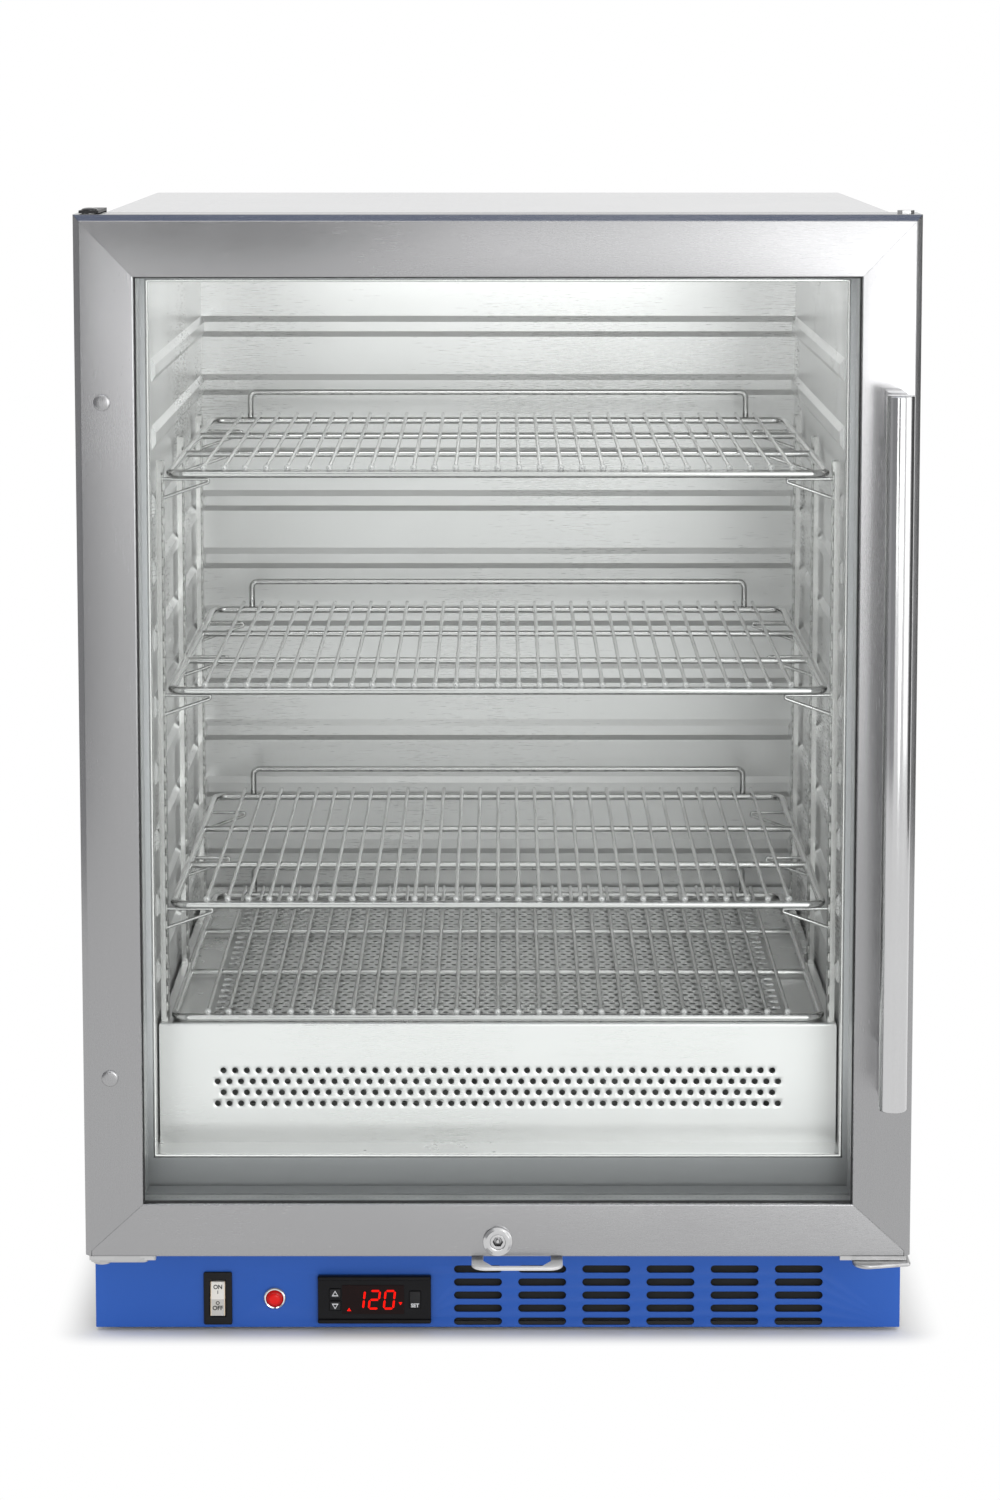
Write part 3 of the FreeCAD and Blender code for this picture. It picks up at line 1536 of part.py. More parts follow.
part(
    "lock_strike",
    soft_edges(
        "strike_rounded",
        strike,
        "strike_round",
        lambda edge: abs(edge.CenterOfMass.y - strike_front) < 0.01
        and any(abs(edge.CenterOfMass.x - x) < 0.01 for x in strike_sides),
    ),
)

# ---------------------------------------------------------------- screws
flange_z = "bracket_top + flange_up / 2"
screws = [
    hexagon(
        f"bracket_screw_{i}", OUT_Y, x, "kick_y - bracket_thick", flange_z, "screw_radius", "screw_high"
    )
    for i, x in enumerate(
        (
            "-pin_x + 6",
            "-pin_x + 24",
            "half_door - 9",
            "half_door - bracket_wide + 9",
        )
    )
]
screws += [
    hexagon(
        f"arm_screw_{i}",
        "z",
        f"-pin_x + {6 + 16 * i}",
        "front_y + arm_foot - 10",
        "body_top + arm_thick",
        "screw_radius",
        "screw_high",
    )
    for i in range(2)
]
part("hinge_screws", grouped("hinge_screw_set", screws))


# ---------------------------------------------------------------- checks and files
def check_all():
    """Stops if any object failed or any sub-part isn't a sound solid."""
    doc.recompute()
    for thing in doc.Objects:
        if "Invalid" in thing.State or "Error" in thing.State:
            raise RuntimeError(f"{thing.Name} failed: {thing.State}")
    for node, made in NODES.items():
        shape = made.Shape
        if shape.isNull() or not shape.isValid() or not shape.Solids:
            raise RuntimeError(f"{node} isn't a sound solid")


check_all()
os.makedirs("parts", exist_ok=True)
for node, made in NODES.items():
    made.Shape.exportStep(f"parts/{node}.step")
print(f"{len(NODES)} sub-parts, {sum(len(m.Shape.Solids) for m in NODES.values())} solids")
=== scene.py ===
import json
import math

import bmesh
import bpy
import numpy as np
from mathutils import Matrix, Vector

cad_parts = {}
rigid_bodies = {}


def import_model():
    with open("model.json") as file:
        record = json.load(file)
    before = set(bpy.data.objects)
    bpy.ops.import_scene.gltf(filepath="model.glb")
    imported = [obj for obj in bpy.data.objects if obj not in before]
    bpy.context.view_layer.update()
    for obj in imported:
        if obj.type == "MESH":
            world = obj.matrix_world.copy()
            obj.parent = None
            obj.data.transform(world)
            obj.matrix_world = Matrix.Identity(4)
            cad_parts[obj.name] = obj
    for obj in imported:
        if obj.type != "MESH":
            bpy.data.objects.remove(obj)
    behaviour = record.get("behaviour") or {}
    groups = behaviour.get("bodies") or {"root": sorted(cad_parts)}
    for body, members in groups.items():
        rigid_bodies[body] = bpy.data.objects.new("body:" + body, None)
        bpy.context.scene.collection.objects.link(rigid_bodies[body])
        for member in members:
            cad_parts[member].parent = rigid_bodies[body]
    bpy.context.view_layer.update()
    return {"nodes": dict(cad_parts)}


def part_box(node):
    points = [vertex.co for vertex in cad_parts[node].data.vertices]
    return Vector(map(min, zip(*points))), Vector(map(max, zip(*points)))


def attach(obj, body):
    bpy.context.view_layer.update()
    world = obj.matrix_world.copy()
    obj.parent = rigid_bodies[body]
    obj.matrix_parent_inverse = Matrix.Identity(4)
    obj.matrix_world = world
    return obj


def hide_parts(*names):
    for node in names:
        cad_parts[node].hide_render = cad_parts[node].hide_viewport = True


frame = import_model()
nodes = frame["nodes"]

# ---------------------------------------------------------------- room
# A pale floor that runs out into white, lit by large soft lamps in front, on the right and overhead,
# and by a slim one under the cavity's ceiling. Grey cards give the metal something to reflect.
MM = 0.001


class Shade:
    """One output of a shader tree. Arithmetic with numbers and other outputs adds Math nodes."""

    def __init__(self, tree, socket=None):
        self.tree, self.socket = tree, socket

    def node(self, kind, values=None, output=0, stops=None, **settings):
        """Any node: its settings and ramp stops first, then a value or a link for each socket."""
        made = self.tree.nodes.new(kind)
        for name, value in settings.items():
            setattr(made, name, value)
        if stops:
            places = made.color_ramp.elements
            while len(places) < len(stops):
                places.new(0.5)
            for place, (where, tone) in zip(places, stops):
                place.position, place.color = where, (tone, tone, tone, 1)
        for name, value in (values or {}).items():
            if isinstance(value, Shade):
                self.tree.links.new(value.socket, made.inputs[name])
            else:
                made.inputs[name].default_value = value
        return Shade(self.tree, made.outputs[output])

    def math(self, operation, *others):
        return self.node("ShaderNodeMath", dict(enumerate((self, *others))), operation=operation)

    def mix(self, low, high):
        """The colour that this mask picks between two colours."""
        return self.node("ShaderNodeMix", {0: self, 6: low, 7: high}, output=2, data_type="RGBA")

    def feed(self, shader, socket):
        self.tree.links.new(self.socket, shader.inputs[socket])

    def __add__(self, other):
        return self.math("ADD", other)

    def __sub__(self, other):
        return self.math("SUBTRACT", other)

    def __mul__(self, other):
        return self.math("MULTIPLY", other)

    def __gt__(self, other):
        return self.math("GREATER_THAN", other)

    def __lt__(self, other):
        return self.math("LESS_THAN", other)

    def __rsub__(self, other):
        return self.node("ShaderNodeMath", {0: other, 1: self}, operation="SUBTRACT")

    __radd__ = __add__
    __rmul__ = __mul__


def seen(root):
    """1 for rays that show the background: camera, glossy and transmission rays."""
    names = ("Is Camera Ray", "Is Glossy Ray", "Is Transmission Ray")
    paths = [root.node("ShaderNodeLightPath", output=name) for name in names]
    return (paths[0] + paths[1] + paths[2]).math("MINIMUM", 1.0)


def own(root):
    """The object's own coordinates, in metres."""
    return root.node("ShaderNodeTexCoord", output="Object")


def bare(name):
    """A material with an empty tree, and the root of that tree."""
    made = bpy.data.materials.new(name)
    made.use_nodes = True
    made.node_tree.nodes.clear()
    return made, Shade(made.node_tree)


def show(surface, kind="Material"):
    """Ends a tree with this surface."""
    surface.feed(surface.tree.nodes.new(f"ShaderNodeOutput{kind}"), "Surface")


FLOOR_RADIUS, FLOOR_SIDES, FLOOR_WHITE = 14.0, 96, 0.88
FADE_OVER = 0.035  # metres from the cabinet's foot until all is white
kick_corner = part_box("kick_panel")[0]
FOOTPRINT = (-kick_corner.x, -kick_corner.y, 1.0)

floor_mesh = bpy.data.meshes.new("floor")
turns = np.linspace(0, 2 * math.pi, FLOOR_SIDES, endpoint=False)
edge = np.stack([np.cos(turns), np.sin(turns), 0 * turns], 1) * FLOOR_RADIUS
floor_mesh.from_pydata(edge.tolist(), [], [list(range(FLOOR_SIDES))])
floor = bpy.data.objects.new("floor", floor_mesh)
bpy.context.scene.collection.objects.link(floor)
floor_paint, root = bare("pale_floor")
spot = root.node("ShaderNodeVectorMath", {0: own(root)}, operation="ABSOLUTE")
for operation, other in (("SUBTRACT", FOOTPRINT), ("MAXIMUM", (0, 0, 0))):
    spot = root.node("ShaderNodeVectorMath", {0: spot, 1: other}, operation=operation)
far = root.node("ShaderNodeVectorMath", {0: spot}, "Value", operation="LENGTH")
fade = root.node("ShaderNodeMapRange", {"Value": far, "From Max": FADE_OVER}, interpolation_type="SMOOTHSTEP")
lit = root.node("ShaderNodeBsdfDiffuse", {"Color": (FLOOR_WHITE,) * 3 + (1,)})
white = root.node("ShaderNodeEmission", {"Color": (1, 1, 1, 1), "Strength": 1.0})
show(root.node("ShaderNodeMixShader", {0: fade * seen(root), 1: lit, 2: white}))
floor_mesh.materials.append(floor_paint)

AIR_LIGHT = 0.75
world = bpy.data.worlds.new("white_room")
bpy.context.scene.world = world
world.use_nodes = True
world.node_tree.nodes.clear()
root = Shade(world.node_tree)
air, backdrop = (
    root.node("ShaderNodeBackground", {"Color": (1, 1, 1, 1), "Strength": strength})
    for strength in (AIR_LIGHT, 1.0)
)
show(root.node("ShaderNodeMixShader", {0: seen(root), 1: air, 2: backdrop}), "World")


def aimed(thing, place, target):
    """Puts a lamp or card at a place, with its own -Z towards a target."""
    thing.location = place
    away = Vector(target) - Vector(place)
    thing.rotation_euler = away.to_track_quat("-Z", "Y").to_euler()
    bpy.context.scene.collection.objects.link(thing)
    return thing


def lamp(name, place, target, wide, high, radiance):
    """A soft area lamp; its power is what gives a face of that size the radiance wanted."""
    light = bpy.data.lights.new(name, "AREA")
    light.shape, light.size, light.size_y = "RECTANGLE", wide, high
    light.energy = radiance * math.pi * wide * high
    made = bpy.data.objects.new(name, light)
    made.visible_camera = False
    return aimed(made, place, target)


def card(name, place, target, wide, high, colour):
    """A plain card that only mirror-like reflections see."""
    mesh = bpy.data.meshes.new(name)
    w, h = wide / 2, high / 2
    mesh.from_pydata([(-w, -h, 0), (w, -h, 0), (w, h, 0), (-w, h, 0)], [], [(0, 1, 2, 3)])
    made = bpy.data.objects.new(name, mesh)
    paint, plain = bare(name)
    show(plain.node("ShaderNodeEmission", {"Color": (*colour, 1), "Strength": 1.0}))
    mesh.materials.append(paint)
    for kind in ("camera", "diffuse", "shadow", "transmission", "volume_scatter"):
        setattr(made, f"visible_{kind}", False)
    return aimed(made, place, target)


DOOR_RIGHT = (0.28, -0.32, 0.5)  # a point on the right stile, which several lamps and cards face
lamp("key_lamp", (1.05, -3.45, 0.96), (0.25, -0.3, 0.6), 1.3, 1.3, 2.7)
lamp("middle_lamp", (0.05, -3.7, 0.75), (0.0, -0.3, 0.5), 0.7, 0.9, 1.1)
lamp("fill_lamp", (-1.06, -3.45, 0.87), (-0.25, -0.3, 0.6), 1.0, 0.8, 3.0)
lamp("low_lamp", (0.68, -2.3, 0.34), (0.28, -0.3, 0.45), 0.5, 0.6, 3.0)
lamp("side_lamp", (1.97, -1.18, 0.80), DOOR_RIGHT, 1.3, 1.5, 1.3)
lamp("top_lamp", (0.0, -1.1, 3.1), (0.0, -0.4, 0.4), 2.4, 2.0, 1.6)
liner_low, liner_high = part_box("inner_liner")
ceiling = (0, liner_low.y + 0.05, liner_high.z - 0.015)
lamp("cavity_lamp", ceiling, (0, liner_high.y, 0.60), 0.40, 0.06, 4.0)
card("left_card", (-1.6, -0.35, 0.75), DOOR_RIGHT, 1.8, 1.5, (0.45, 0.45, 0.46))
card("left_front_card", (-1.10, -1.48, 0.75), DOOR_RIGHT, 1.4, 1.5, (0.33, 0.33, 0.34))
card("right_card", (1.62, 0.36, 0.75), DOOR_RIGHT, 1.4, 1.6, (0.10, 0.10, 0.10))
card("front_card", (-0.47, -3.3, 0.98), (-0.2, -0.3, 0.7), 0.70, 0.72, (0.08, 0.08, 0.085))
card("upper_card", (0.0, -0.40, 1.9), (0.0, -0.38, 0.8), 1.5, 0.8, (0.20, 0.25, 0.40))

LENS, SENSOR, DROP = 85.4, 36, -0.2  # lens and sensor in millimetres, and the frame's shift down
CAMERA_SIDE, CAMERA_AWAY, CAMERA_UP, CAMERA_TILT = 0.0016, 2.5, 0.9335, 6.2
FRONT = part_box("door_rail_top")[0].y
camera_data = bpy.data.cameras.new("camera")
camera_data.lens, camera_data.sensor_width, camera_data.shift_y = LENS, SENSOR, DROP
camera_data.clip_start, camera_data.clip_end = 0.05, 60
camera = bpy.data.objects.new("camera", camera_data)
camera.location = (CAMERA_SIDE, FRONT - CAMERA_AWAY, CAMERA_UP)
camera.rotation_euler = (math.radians(90 - CAMERA_TILT), 0, 0)
bpy.context.scene.collection.objects.link(camera)
bpy.context.scene.camera = camera
bpy.context.scene.view_settings.view_transform = "Standard"

# ---------------------------------------------------------------- outer wrap
# One sheet of satin stainless steel, folded over both sides and the top with a small bend radius.
# It is brushed from front to back, and is open at the front, the back and the bottom.
def finish(name, colour, roughness, metallic=0.0, **sockets):
    """A plain Principled material, a function that links what varies over it, and its tree's root."""
    made = bpy.data.materials.new(name)
    made.use_nodes = True
    shader = made.node_tree.nodes["Principled BSDF"]
    values = {"Base_Color": (*colour, 1), "Roughness": roughness, "Metallic": metallic, **sockets}
    for key, value in values.items():
        shader.inputs[key.replace("_", " ")].default_value = value

    def vary(**inputs):
        for key, value in inputs.items():
            value.feed(shader, key.replace("_", " "))

    return made, vary, Shade(made.node_tree)


def grain(root, scale, stretch=(1, 1, 1), detail=3.0, rough=0.6):
    """Noise over the object's own metres; stretch is how much finer it is along each axis."""
    place = root.node("ShaderNodeMapping", {"Vector": own(root), "Scale": stretch})
    values = {"Vector": place, "Scale": scale, "Detail": detail, "Roughness": rough}
    return root.node("ShaderNodeTexNoise", values)


def dent(height, strength, distance):
    """A bump normal from a height."""
    return height.node("ShaderNodeBump", {"Height": height, "Strength": strength, "Distance": distance})


def tones(colour, low, high):
    """Two shades of one colour."""
    return tuple((*(min(1.0, part * by) for part in colour), 1) for by in (low, high))


def brushed(name, colour, roughness, along, streaks=0.5, speckle=0.3, relief=0.25, **sockets):
    """Brushed steel: fine streaks along one axis or plane, a soft speckle, and faint hand marks."""
    made, vary, root = finish(name, colour, roughness, 1.0, **sockets)
    stretch = tuple(0.04 if axis in along else 1.0 for axis in "xyz")
    fine = grain(root, 1900.0, stretch, 2.0)
    broad = grain(root, 260.0, tuple(0.01 if axis in along else 1.0 for axis in "xyz"), 4.0)
    dust = grain(root, 1150.0, detail=2.0)
    clouds = grain(root, 4.0, detail=3.0)
    mask = fine * streaks * 0.5 + broad * streaks * 0.5 + dust * speckle + clouds * (1 - streaks - speckle)
    vary(
        Base_Color=mask.mix(*tones(colour, 0.80, 1.20)),
        Roughness=roughness - 0.16 + fine * 0.14 + clouds * 0.18,
        Normal=dent(fine * 0.6 + dust * 0.4, relief, 0.00004),
    )
    return made


def dress(made, *names):
    """Gives CAD nodes that keep their own shape a finished material."""
    for name in names:
        for place in nodes[name].material_slots:
            place.material = made


def arcs(corners, radii, steps=5, closed=True):
    """A path with each corner bent to an arc: centre on the corner's bisector, swept by slerp."""
    p = np.asarray(corners, float)
    r = np.broadcast_to(np.asarray(radii, float), len(p)).copy()
    u, v = np.roll(p, 1, 0) - p, np.roll(p, -1, 0) - p
    if not closed:
        u[0], v[0], u[-1], v[-1] = 1, -1, 1, -1
        r[0] = r[-1] = 0
    u /= np.linalg.norm(u, axis=1, keepdims=True)
    v /= np.linalg.norm(v, axis=1, keepdims=True)
    half = np.arccos(np.clip((u * v).sum(1), -0.999999, 1)) / 2
    r = np.maximum(r, 1e-7)
    bisector = (u + v) / np.maximum(np.linalg.norm(u + v, axis=1, keepdims=True), 1e-9)
    middle = p + bisector * (r / np.sin(half))[:, None]
    reach = (r / np.tan(half))[:, None]
    start, end = p + u * reach - middle, p + v * reach - middle
    sweep = (math.pi - 2 * half)[:, None, None]
    t = np.linspace(0, 1, steps + 1)[None, :, None]
    bend = np.sin((1 - t) * sweep) * start[:, None] + np.sin(t * sweep) * end[:, None]
    path = (middle[:, None] + bend / np.maximum(np.sin(sweep), 1e-9)).reshape(-1, p.shape[1])
    if not closed:
        return np.vstack([p[:1], path[steps + 1 : -(steps + 1)], p[-1:]])
    return path


def quads(rows, columns, wrap_rows=False, wrap_columns=False):
    """Faces of a grid of points stored row by row."""
    i = np.arange(rows if wrap_rows else rows - 1)[:, None]
    j = np.arange(columns if wrap_columns else columns - 1)[None, :]
    up, on = (i + 1) % rows, (j + 1) % columns
    corners = [i * columns + j, i * columns + on, up * columns + on, up * columns + j]
    return np.stack(corners, -1).reshape(-1, 4)


def tube(rings, closed=False):
    """Points and faces of a stack of rings, (rings, points, 3); its ends are capped unless it closes."""
    rings = np.asarray(rings, float)
    count, sides = rings.shape[:2]
    faces = quads(count, sides, wrap_rows=closed, wrap_columns=True).tolist()
    if not closed:
        faces += [list(range(sides)), list(range((count - 1) * sides, count * sides))]
    return rings.reshape(-1, 3), faces


AXES = {"x": (1, 2, 0), "y": (0, 2, 1), "z": (0, 1, 2)}


def prism(outline, axis, low, high):
    """A closed outline carried along an axis; the ends may be numbers or one value for each corner."""
    flat = np.asarray(outline, float)
    first, second, third = AXES[axis]
    points = np.zeros((2, len(flat), 3))
    points[..., first], points[..., second] = flat[:, 0], flat[:, 1]
    points[0, :, third], points[1, :, third] = low, high
    return tube(points)


def slab(low, high):
    """One stretch of flat sheet or bar inside a larger piece."""
    outline = [(low[0], low[2]), (high[0], low[2]), (high[0], high[2]), (low[0], high[2])]
    return prism(outline, "y", low[1], high[1])


def piece(name, parts, body, made, replaces=(), sharp=38):
    """One visible object from parts of (points, faces): it rides on a body and stands for CAD nodes."""
    points, faces, start = [], [], 0
    for corners, sides in parts:
        points.append(np.asarray(corners, float))
        faces += [[start + i for i in side] for side in sides]
        start += len(corners)
    mesh = bpy.data.meshes.new(name)
    mesh.from_pydata(np.vstack(points).tolist(), [], faces)
    work = bmesh.new()
    work.from_mesh(mesh)
    bmesh.ops.remove_doubles(work, verts=work.verts, dist=1e-7)
    bmesh.ops.recalc_face_normals(work, faces=work.faces)
    work.to_mesh(mesh)
    work.free()
    mesh.polygons.foreach_set("use_smooth", [True] * len(mesh.polygons))
    mesh.set_sharp_from_angle(angle=math.radians(sharp))
    mesh.materials.append(made)
    shown = bpy.data.objects.new(name, mesh)
    bpy.context.scene.collection.objects.link(shown)
    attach(shown, body)
    if replaces:
        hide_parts(*replaces)


STEEL, SHEET = (0.62, 0.62, 0.625), 1 * MM
low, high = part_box("outer_wrap")
outer = [(low.x, low.z), (low.x, high.z), (high.x, high.z), (high.x, low.z)]
inner_left, inner_right, inner_top = low.x + SHEET, high.x - SHEET, high.z - SHEET
inner = [(inner_right, low.z), (inner_right, inner_top), (inner_left, inner_top), (inner_left, low.z)]
wrap_line = arcs(outer + inner, np.array([0, 2.5, 2.5, 0, 0, 1.5, 1.5, 0]) * MM)
wrap_steel = brushed("satin_stainless_sides", STEEL, 0.24, "y", streaks=0.4, speckle=0.3, relief=0.08)
wrap_sheet = prism(wrap_line, "y", low.y, high.y)
piece("outer_wrap_sheet", [wrap_sheet], "cabinet", wrap_steel, ["outer_wrap"])

# ---------------------------------------------------------------- back, base and foam
# Galvanised sheet closes the back and makes the base tray; grey foamed board fills the walls.
# Two rows of low domed screws hold the rear panel of the base.
def galvanised(name, colour, roughness):
    """Zinc-coated sheet: large faint crystals, each a little lighter or darker, under a thin haze."""
    made, vary, root = finish(name, colour, roughness, 0.9)
    bent = root.node("ShaderNodeVectorMath", {0: own(root), 1: grain(root, 60.0) * 0.02}, operation="ADD")
    crystals = root.node("ShaderNodeTexVoronoi", {"Vector": bent, "Scale": 75.0}, output="Color")
    tone = root.node("ShaderNodeSeparateColor", {"Color": crystals})
    haze = grain(root, 9.0)
    vary(
        Base_Color=(tone * 0.6 + haze * 0.4).mix(*tones(colour, 0.78, 1.18)),
        Roughness=roughness - 0.12 + tone * 0.16 + haze * 0.12,
        Normal=dent(grain(root, 420.0), 0.10, 0.0001),
    )
    return made


def cast(name, colour, roughness, scale, relief, **sockets):
    """A moulded, foamed or painted surface: an even fine texture with slow changes of tone."""
    made, vary, root = finish(name, colour, roughness, **sockets)
    texture, clouds = grain(root, scale, detail=3.0), grain(root, 11.0)
    vary(
        Base_Color=(texture * 0.4 + clouds * 0.6).mix(*tones(colour, 0.88, 1.12)),
        Roughness=roughness - 0.08 + clouds * 0.10 + texture * 0.06,
        Normal=dent(texture, relief, 0.00015),
    )
    return made


def spun(profile, centre, axis="y", sides=40, out=-1, hollow=False):
    """A turned shape: (radius, height) pairs swept round an axis through a point, height outwards."""
    profile = np.asarray(profile, float)
    turn = np.linspace(0, 2 * math.pi, sides, endpoint=False)
    r, h = profile[:, :1], profile[:, 1:] * out
    first, second, third = AXES[axis]
    points = np.zeros((len(profile), sides, 3))
    points[..., first], points[..., second], points[..., third] = r * np.cos(turn), r * np.sin(turn), h
    return tube(points + np.array(centre), hollow)


def dome(radius, rise, base=0.0, edge=0.0, steps=6):
    """Half a profile: up a short edge, then over a crown that is a quarter of an ellipse."""
    t = np.linspace(0, math.pi / 2, steps + 1)
    crown = np.stack([radius * np.cos(t), base + edge + (rise - edge) * np.sin(t)], 1)
    crown[-1, 0] = radius * 0.02
    return np.vstack([[(radius, base)], crown])


ZINC = (0.55, 0.55, 0.54)
zinc = galvanised("galvanised_sheet", ZINC, 0.42)
dress(zinc, "back_panel", "base_tray", "base_rear_panel", "element_straps", "fan_shroud")
dress(cast("foamed_board", (0.60, 0.58, 0.52), 0.9, 500.0, 0.5), "insulation")

bright_zinc = galvanised("bright_zinc", (0.62, 0.62, 0.61), 0.30)
low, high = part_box("base_rear_panel")
head = dome(3.4 * MM, 1.6 * MM, edge=0.3 * MM)
heads = [
    spun(head, (x, high.y, z), out=1, sides=20)
    for x in np.linspace(low.x + 14 * MM, high.x - 14 * MM, 6)
    for z in (low.z + 6 * MM, high.z - 6 * MM)
]
piece("rear_screws", heads, "cabinet", bright_zinc)

# ---------------------------------------------------------------- feet and power inlet
# Black moulded levelling feet on studs, which screw out to level the cabinet, and a black moulded
# appliance inlet in the rear panel of the base; a pale moulded terminal block stands inside.
black_plastic = cast("black_moulding", (0.012, 0.012, 0.013), 0.45, 1500.0, 0.25, Specular_IOR_Level=0.15)
for corner in ("front_left", "front_right", "back_left", "back_right"):
    low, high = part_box(f"foot_{corner}")
    x, y, r = (low.x + high.x) / 2, (low.y + high.y) / 2, (high.x - low.x) / 2
    base = [(0.4 * r, 0), (r - 1 * MM, 0), (r, 1 * MM), (r, 3 * MM), (r - 1.5 * MM, 4.5 * MM)]
    stud = [(4 * MM, 4.5 * MM), (4 * MM, high.z - 1 * MM), (3 * MM, high.z)]
    turned = spun(base + stud, (x, y, 0), "z", 32, 1)
    body = f"leveller_{corner}"
    piece(f"foot_{corner}_foot", [turned], body, black_plastic, [f"foot_{corner}"])
dress(black_plastic, "power_inlet", "controller_case")
dress(cast("terminal_moulding", (0.70, 0.68, 0.62), 0.5, 900.0, 0.2), "terminal_block")

# ---------------------------------------------------------------- kick panel
# A shallow tray folded from steel sheet and powder coated blue, with thirty slots for warm air.
# Its edges turn back all round, and the controls sit in three cutouts at its left.
def cut_plate(outline, holes, thick, corner, turn, bevel=0.3 * MM):
    """A flat plate with holes, filled from 2D curves; its soft edges come from the curve's bevel."""
    curve = bpy.data.curves.new("plate", "CURVE")
    curve.dimensions, curve.fill_mode = "2D", "BOTH"
    curve.extrude, curve.bevel_depth, curve.bevel_resolution = thick / 2 - bevel, bevel, 2
    curve.offset = -bevel
    for line in (outline, *holes):
        spline = curve.splines.new("POLY")
        spline.points.add(len(line) - 1)
        weighted = np.hstack([line, np.zeros((len(line), 1)), np.ones((len(line), 1))])
        spline.points.foreach_set("co", weighted.ravel())
        spline.use_cyclic_u = True
    holder = bpy.data.objects.new("plate", curve)
    flat = bpy.data.meshes.new_from_object(holder)
    count = len(flat.vertices)
    points = np.zeros(count * 3)
    flat.vertices.foreach_get("co", points)
    faces = [list(side.vertices) for side in flat.polygons]
    for made in (holder, curve, flat):
        bpy.data.batch_remove([made])
    return points.reshape(-1, 3) @ np.array(turn, float) + np.array(corner), faces


STANDING = ((1, 0, 0), (0, 0, 1), (0, 1, 0))  # a plate's own X and Y lie along the row's X and Z
LYING = ((1, 0, 0), (0, 1, 0), (0, 0, 1))


def upright(outline, holes, thick, y, bevel):
    """A plate that faces the front, with its middle at depth y."""
    return cut_plate(outline, holes, thick, (0, y, 0), STANDING, bevel)


def stadium(x, z, long, high, steps=8):
    """A slot's outline: two half circles joined by straight sides."""
    t = np.linspace(-math.pi / 2, math.pi / 2, steps + 1)
    end = np.stack([np.cos(t), np.sin(t)], 1) * high / 2
    middle = np.array([(long - high) / 2, 0])
    return np.vstack([end + middle, -end - middle]) + (x, z)


def box_line(x, z, wide, high, radius=0.0, steps=4):
    """A rectangle's outline about a point, with its corners rounded."""
    w, h = wide / 2, high / 2
    return arcs([(x - w, z - h), (x + w, z - h), (x + w, z + h), (x - w, z + h)], radius, steps)


UP = 25.5 * MM  # height of the controls above the floor
SWITCH_X, LAMP_X, DIAL_X = -207 * MM, -165 * MM, -91.2 * MM
THIN = 1.2 * MM
low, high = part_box("kick_panel")
panel_y, panel_up, wide, tall = low.y, (high.z + low.z) / 2, high.x - low.x, high.z - low.z
slots = [
    stadium(x * MM, z * MM, 35.5 * MM, 5.6 * MM)
    for x in -14.7 + 47.45 * np.arange(6)
    for z in 7.4 + 9.97 * np.arange(5)
]
cutouts = [
    box_line(SWITCH_X, UP, 17.4 * MM, 36.4 * MM),
    box_line(DIAL_X, UP, 71 * MM, 29 * MM),
    stadium(LAMP_X, UP, 13.4 * MM, 13.39 * MM),
]
edge_line = box_line(0, panel_up, wide, tall, 0.6 * MM)
rim_in = box_line(0, panel_up, wide - 2 * THIN, tall - 2 * THIN, 0.2 * MM)
face = upright(edge_line, slots + cutouts, THIN, panel_y + THIN / 2, 0.35 * MM)
rim = np.zeros((4, len(edge_line), 3))
rim[:2, :, ::2], rim[2:, :, ::2] = edge_line, rim_in
rim[[0, 3], :, 1], rim[1:3, :, 1] = panel_y + 0.6 * MM, high.y

BLUE = (0.021, 0.103, 0.450)
blue_coat, vary, root = finish("blue_powder_coat", BLUE, 0.42, Specular_IOR_Level=0.3)
peel, clouds = grain(root, 620.0, detail=2.0), grain(root, 7.0)
vary(
    Base_Color=(peel * 0.3 + clouds * 0.7).mix(*tones(BLUE, 0.94, 1.06)),
    Roughness=0.32 + clouds * 0.12,
    Normal=dent(peel, 0.12, 0.0001),
)
piece("kick_panel_tray", [face, tube(rim, True)], "cabinet", blue_coat, ["kick_panel"])

# Behind the slots, black strips stand in as painted shade: one keeps the base's works out of sight, and
# one along the panel's bottom fold darkens the bottom of the lowest slots.
# Painted shade: this black sheet and strip darken the view through the slots.
slot_shade_black = cast("black_painted_shade", (0.020, 0.021, 0.022), 0.95, 900.0, 0.6)
BAFFLE_X, BAFFLE_WIDE = 105 * MM, 278 * MM
baffle = box_line(BAFFLE_X, 33.3 * MM, BAFFLE_WIDE, 53.4 * MM, 1 * MM, 5)
low_slot_shade = box_line(BAFFLE_X, 5.65 * MM, BAFFLE_WIDE, 2.7 * MM, 0.6 * MM, 5)
baffle_parts = [
    prism(baffle, "y", high.y + 3 * MM, high.y + 5 * MM),
    prism(low_slot_shade, "y", panel_y + 1.4 * MM, high.y - 0.1 * MM),
]
piece("slot_baffle", baffle_parts, "cabinet", slot_shade_black)

# ---------------------------------------------------------------- rocker switch
# A black moulded bezel snapped into the panel, with a cream moulded rocker on a cross pin. The
# rocker is printed ON above and OFF below, on faces that lean away from its middle.
def soft_box(low, high, radius, steps=3):
    """A moulded block: a rounded outline whose front and back rings draw in by a quarter circle."""
    low, high = np.asarray(low, float), np.asarray(high, float)
    middle, (wide, _, tall) = (low + high) / 2, high - low
    t = np.linspace(0, math.pi / 2, steps + 1)
    depth, draw = radius * (1 - np.cos(t)), radius * (1 - np.sin(t))
    levels = np.concatenate([low[1] + depth, (high[1] - depth)[::-1]])
    rings = []
    for level, inset in zip(levels, np.concatenate([draw, draw[::-1]])):
        corner = max(radius - inset, 1e-5) + 0.3 * radius
        line = box_line(middle[0], middle[2], wide - 2 * inset, tall - 2 * inset, corner, steps)
        rings.append(np.insert(line, 1, level, axis=1))
    return tube(rings)


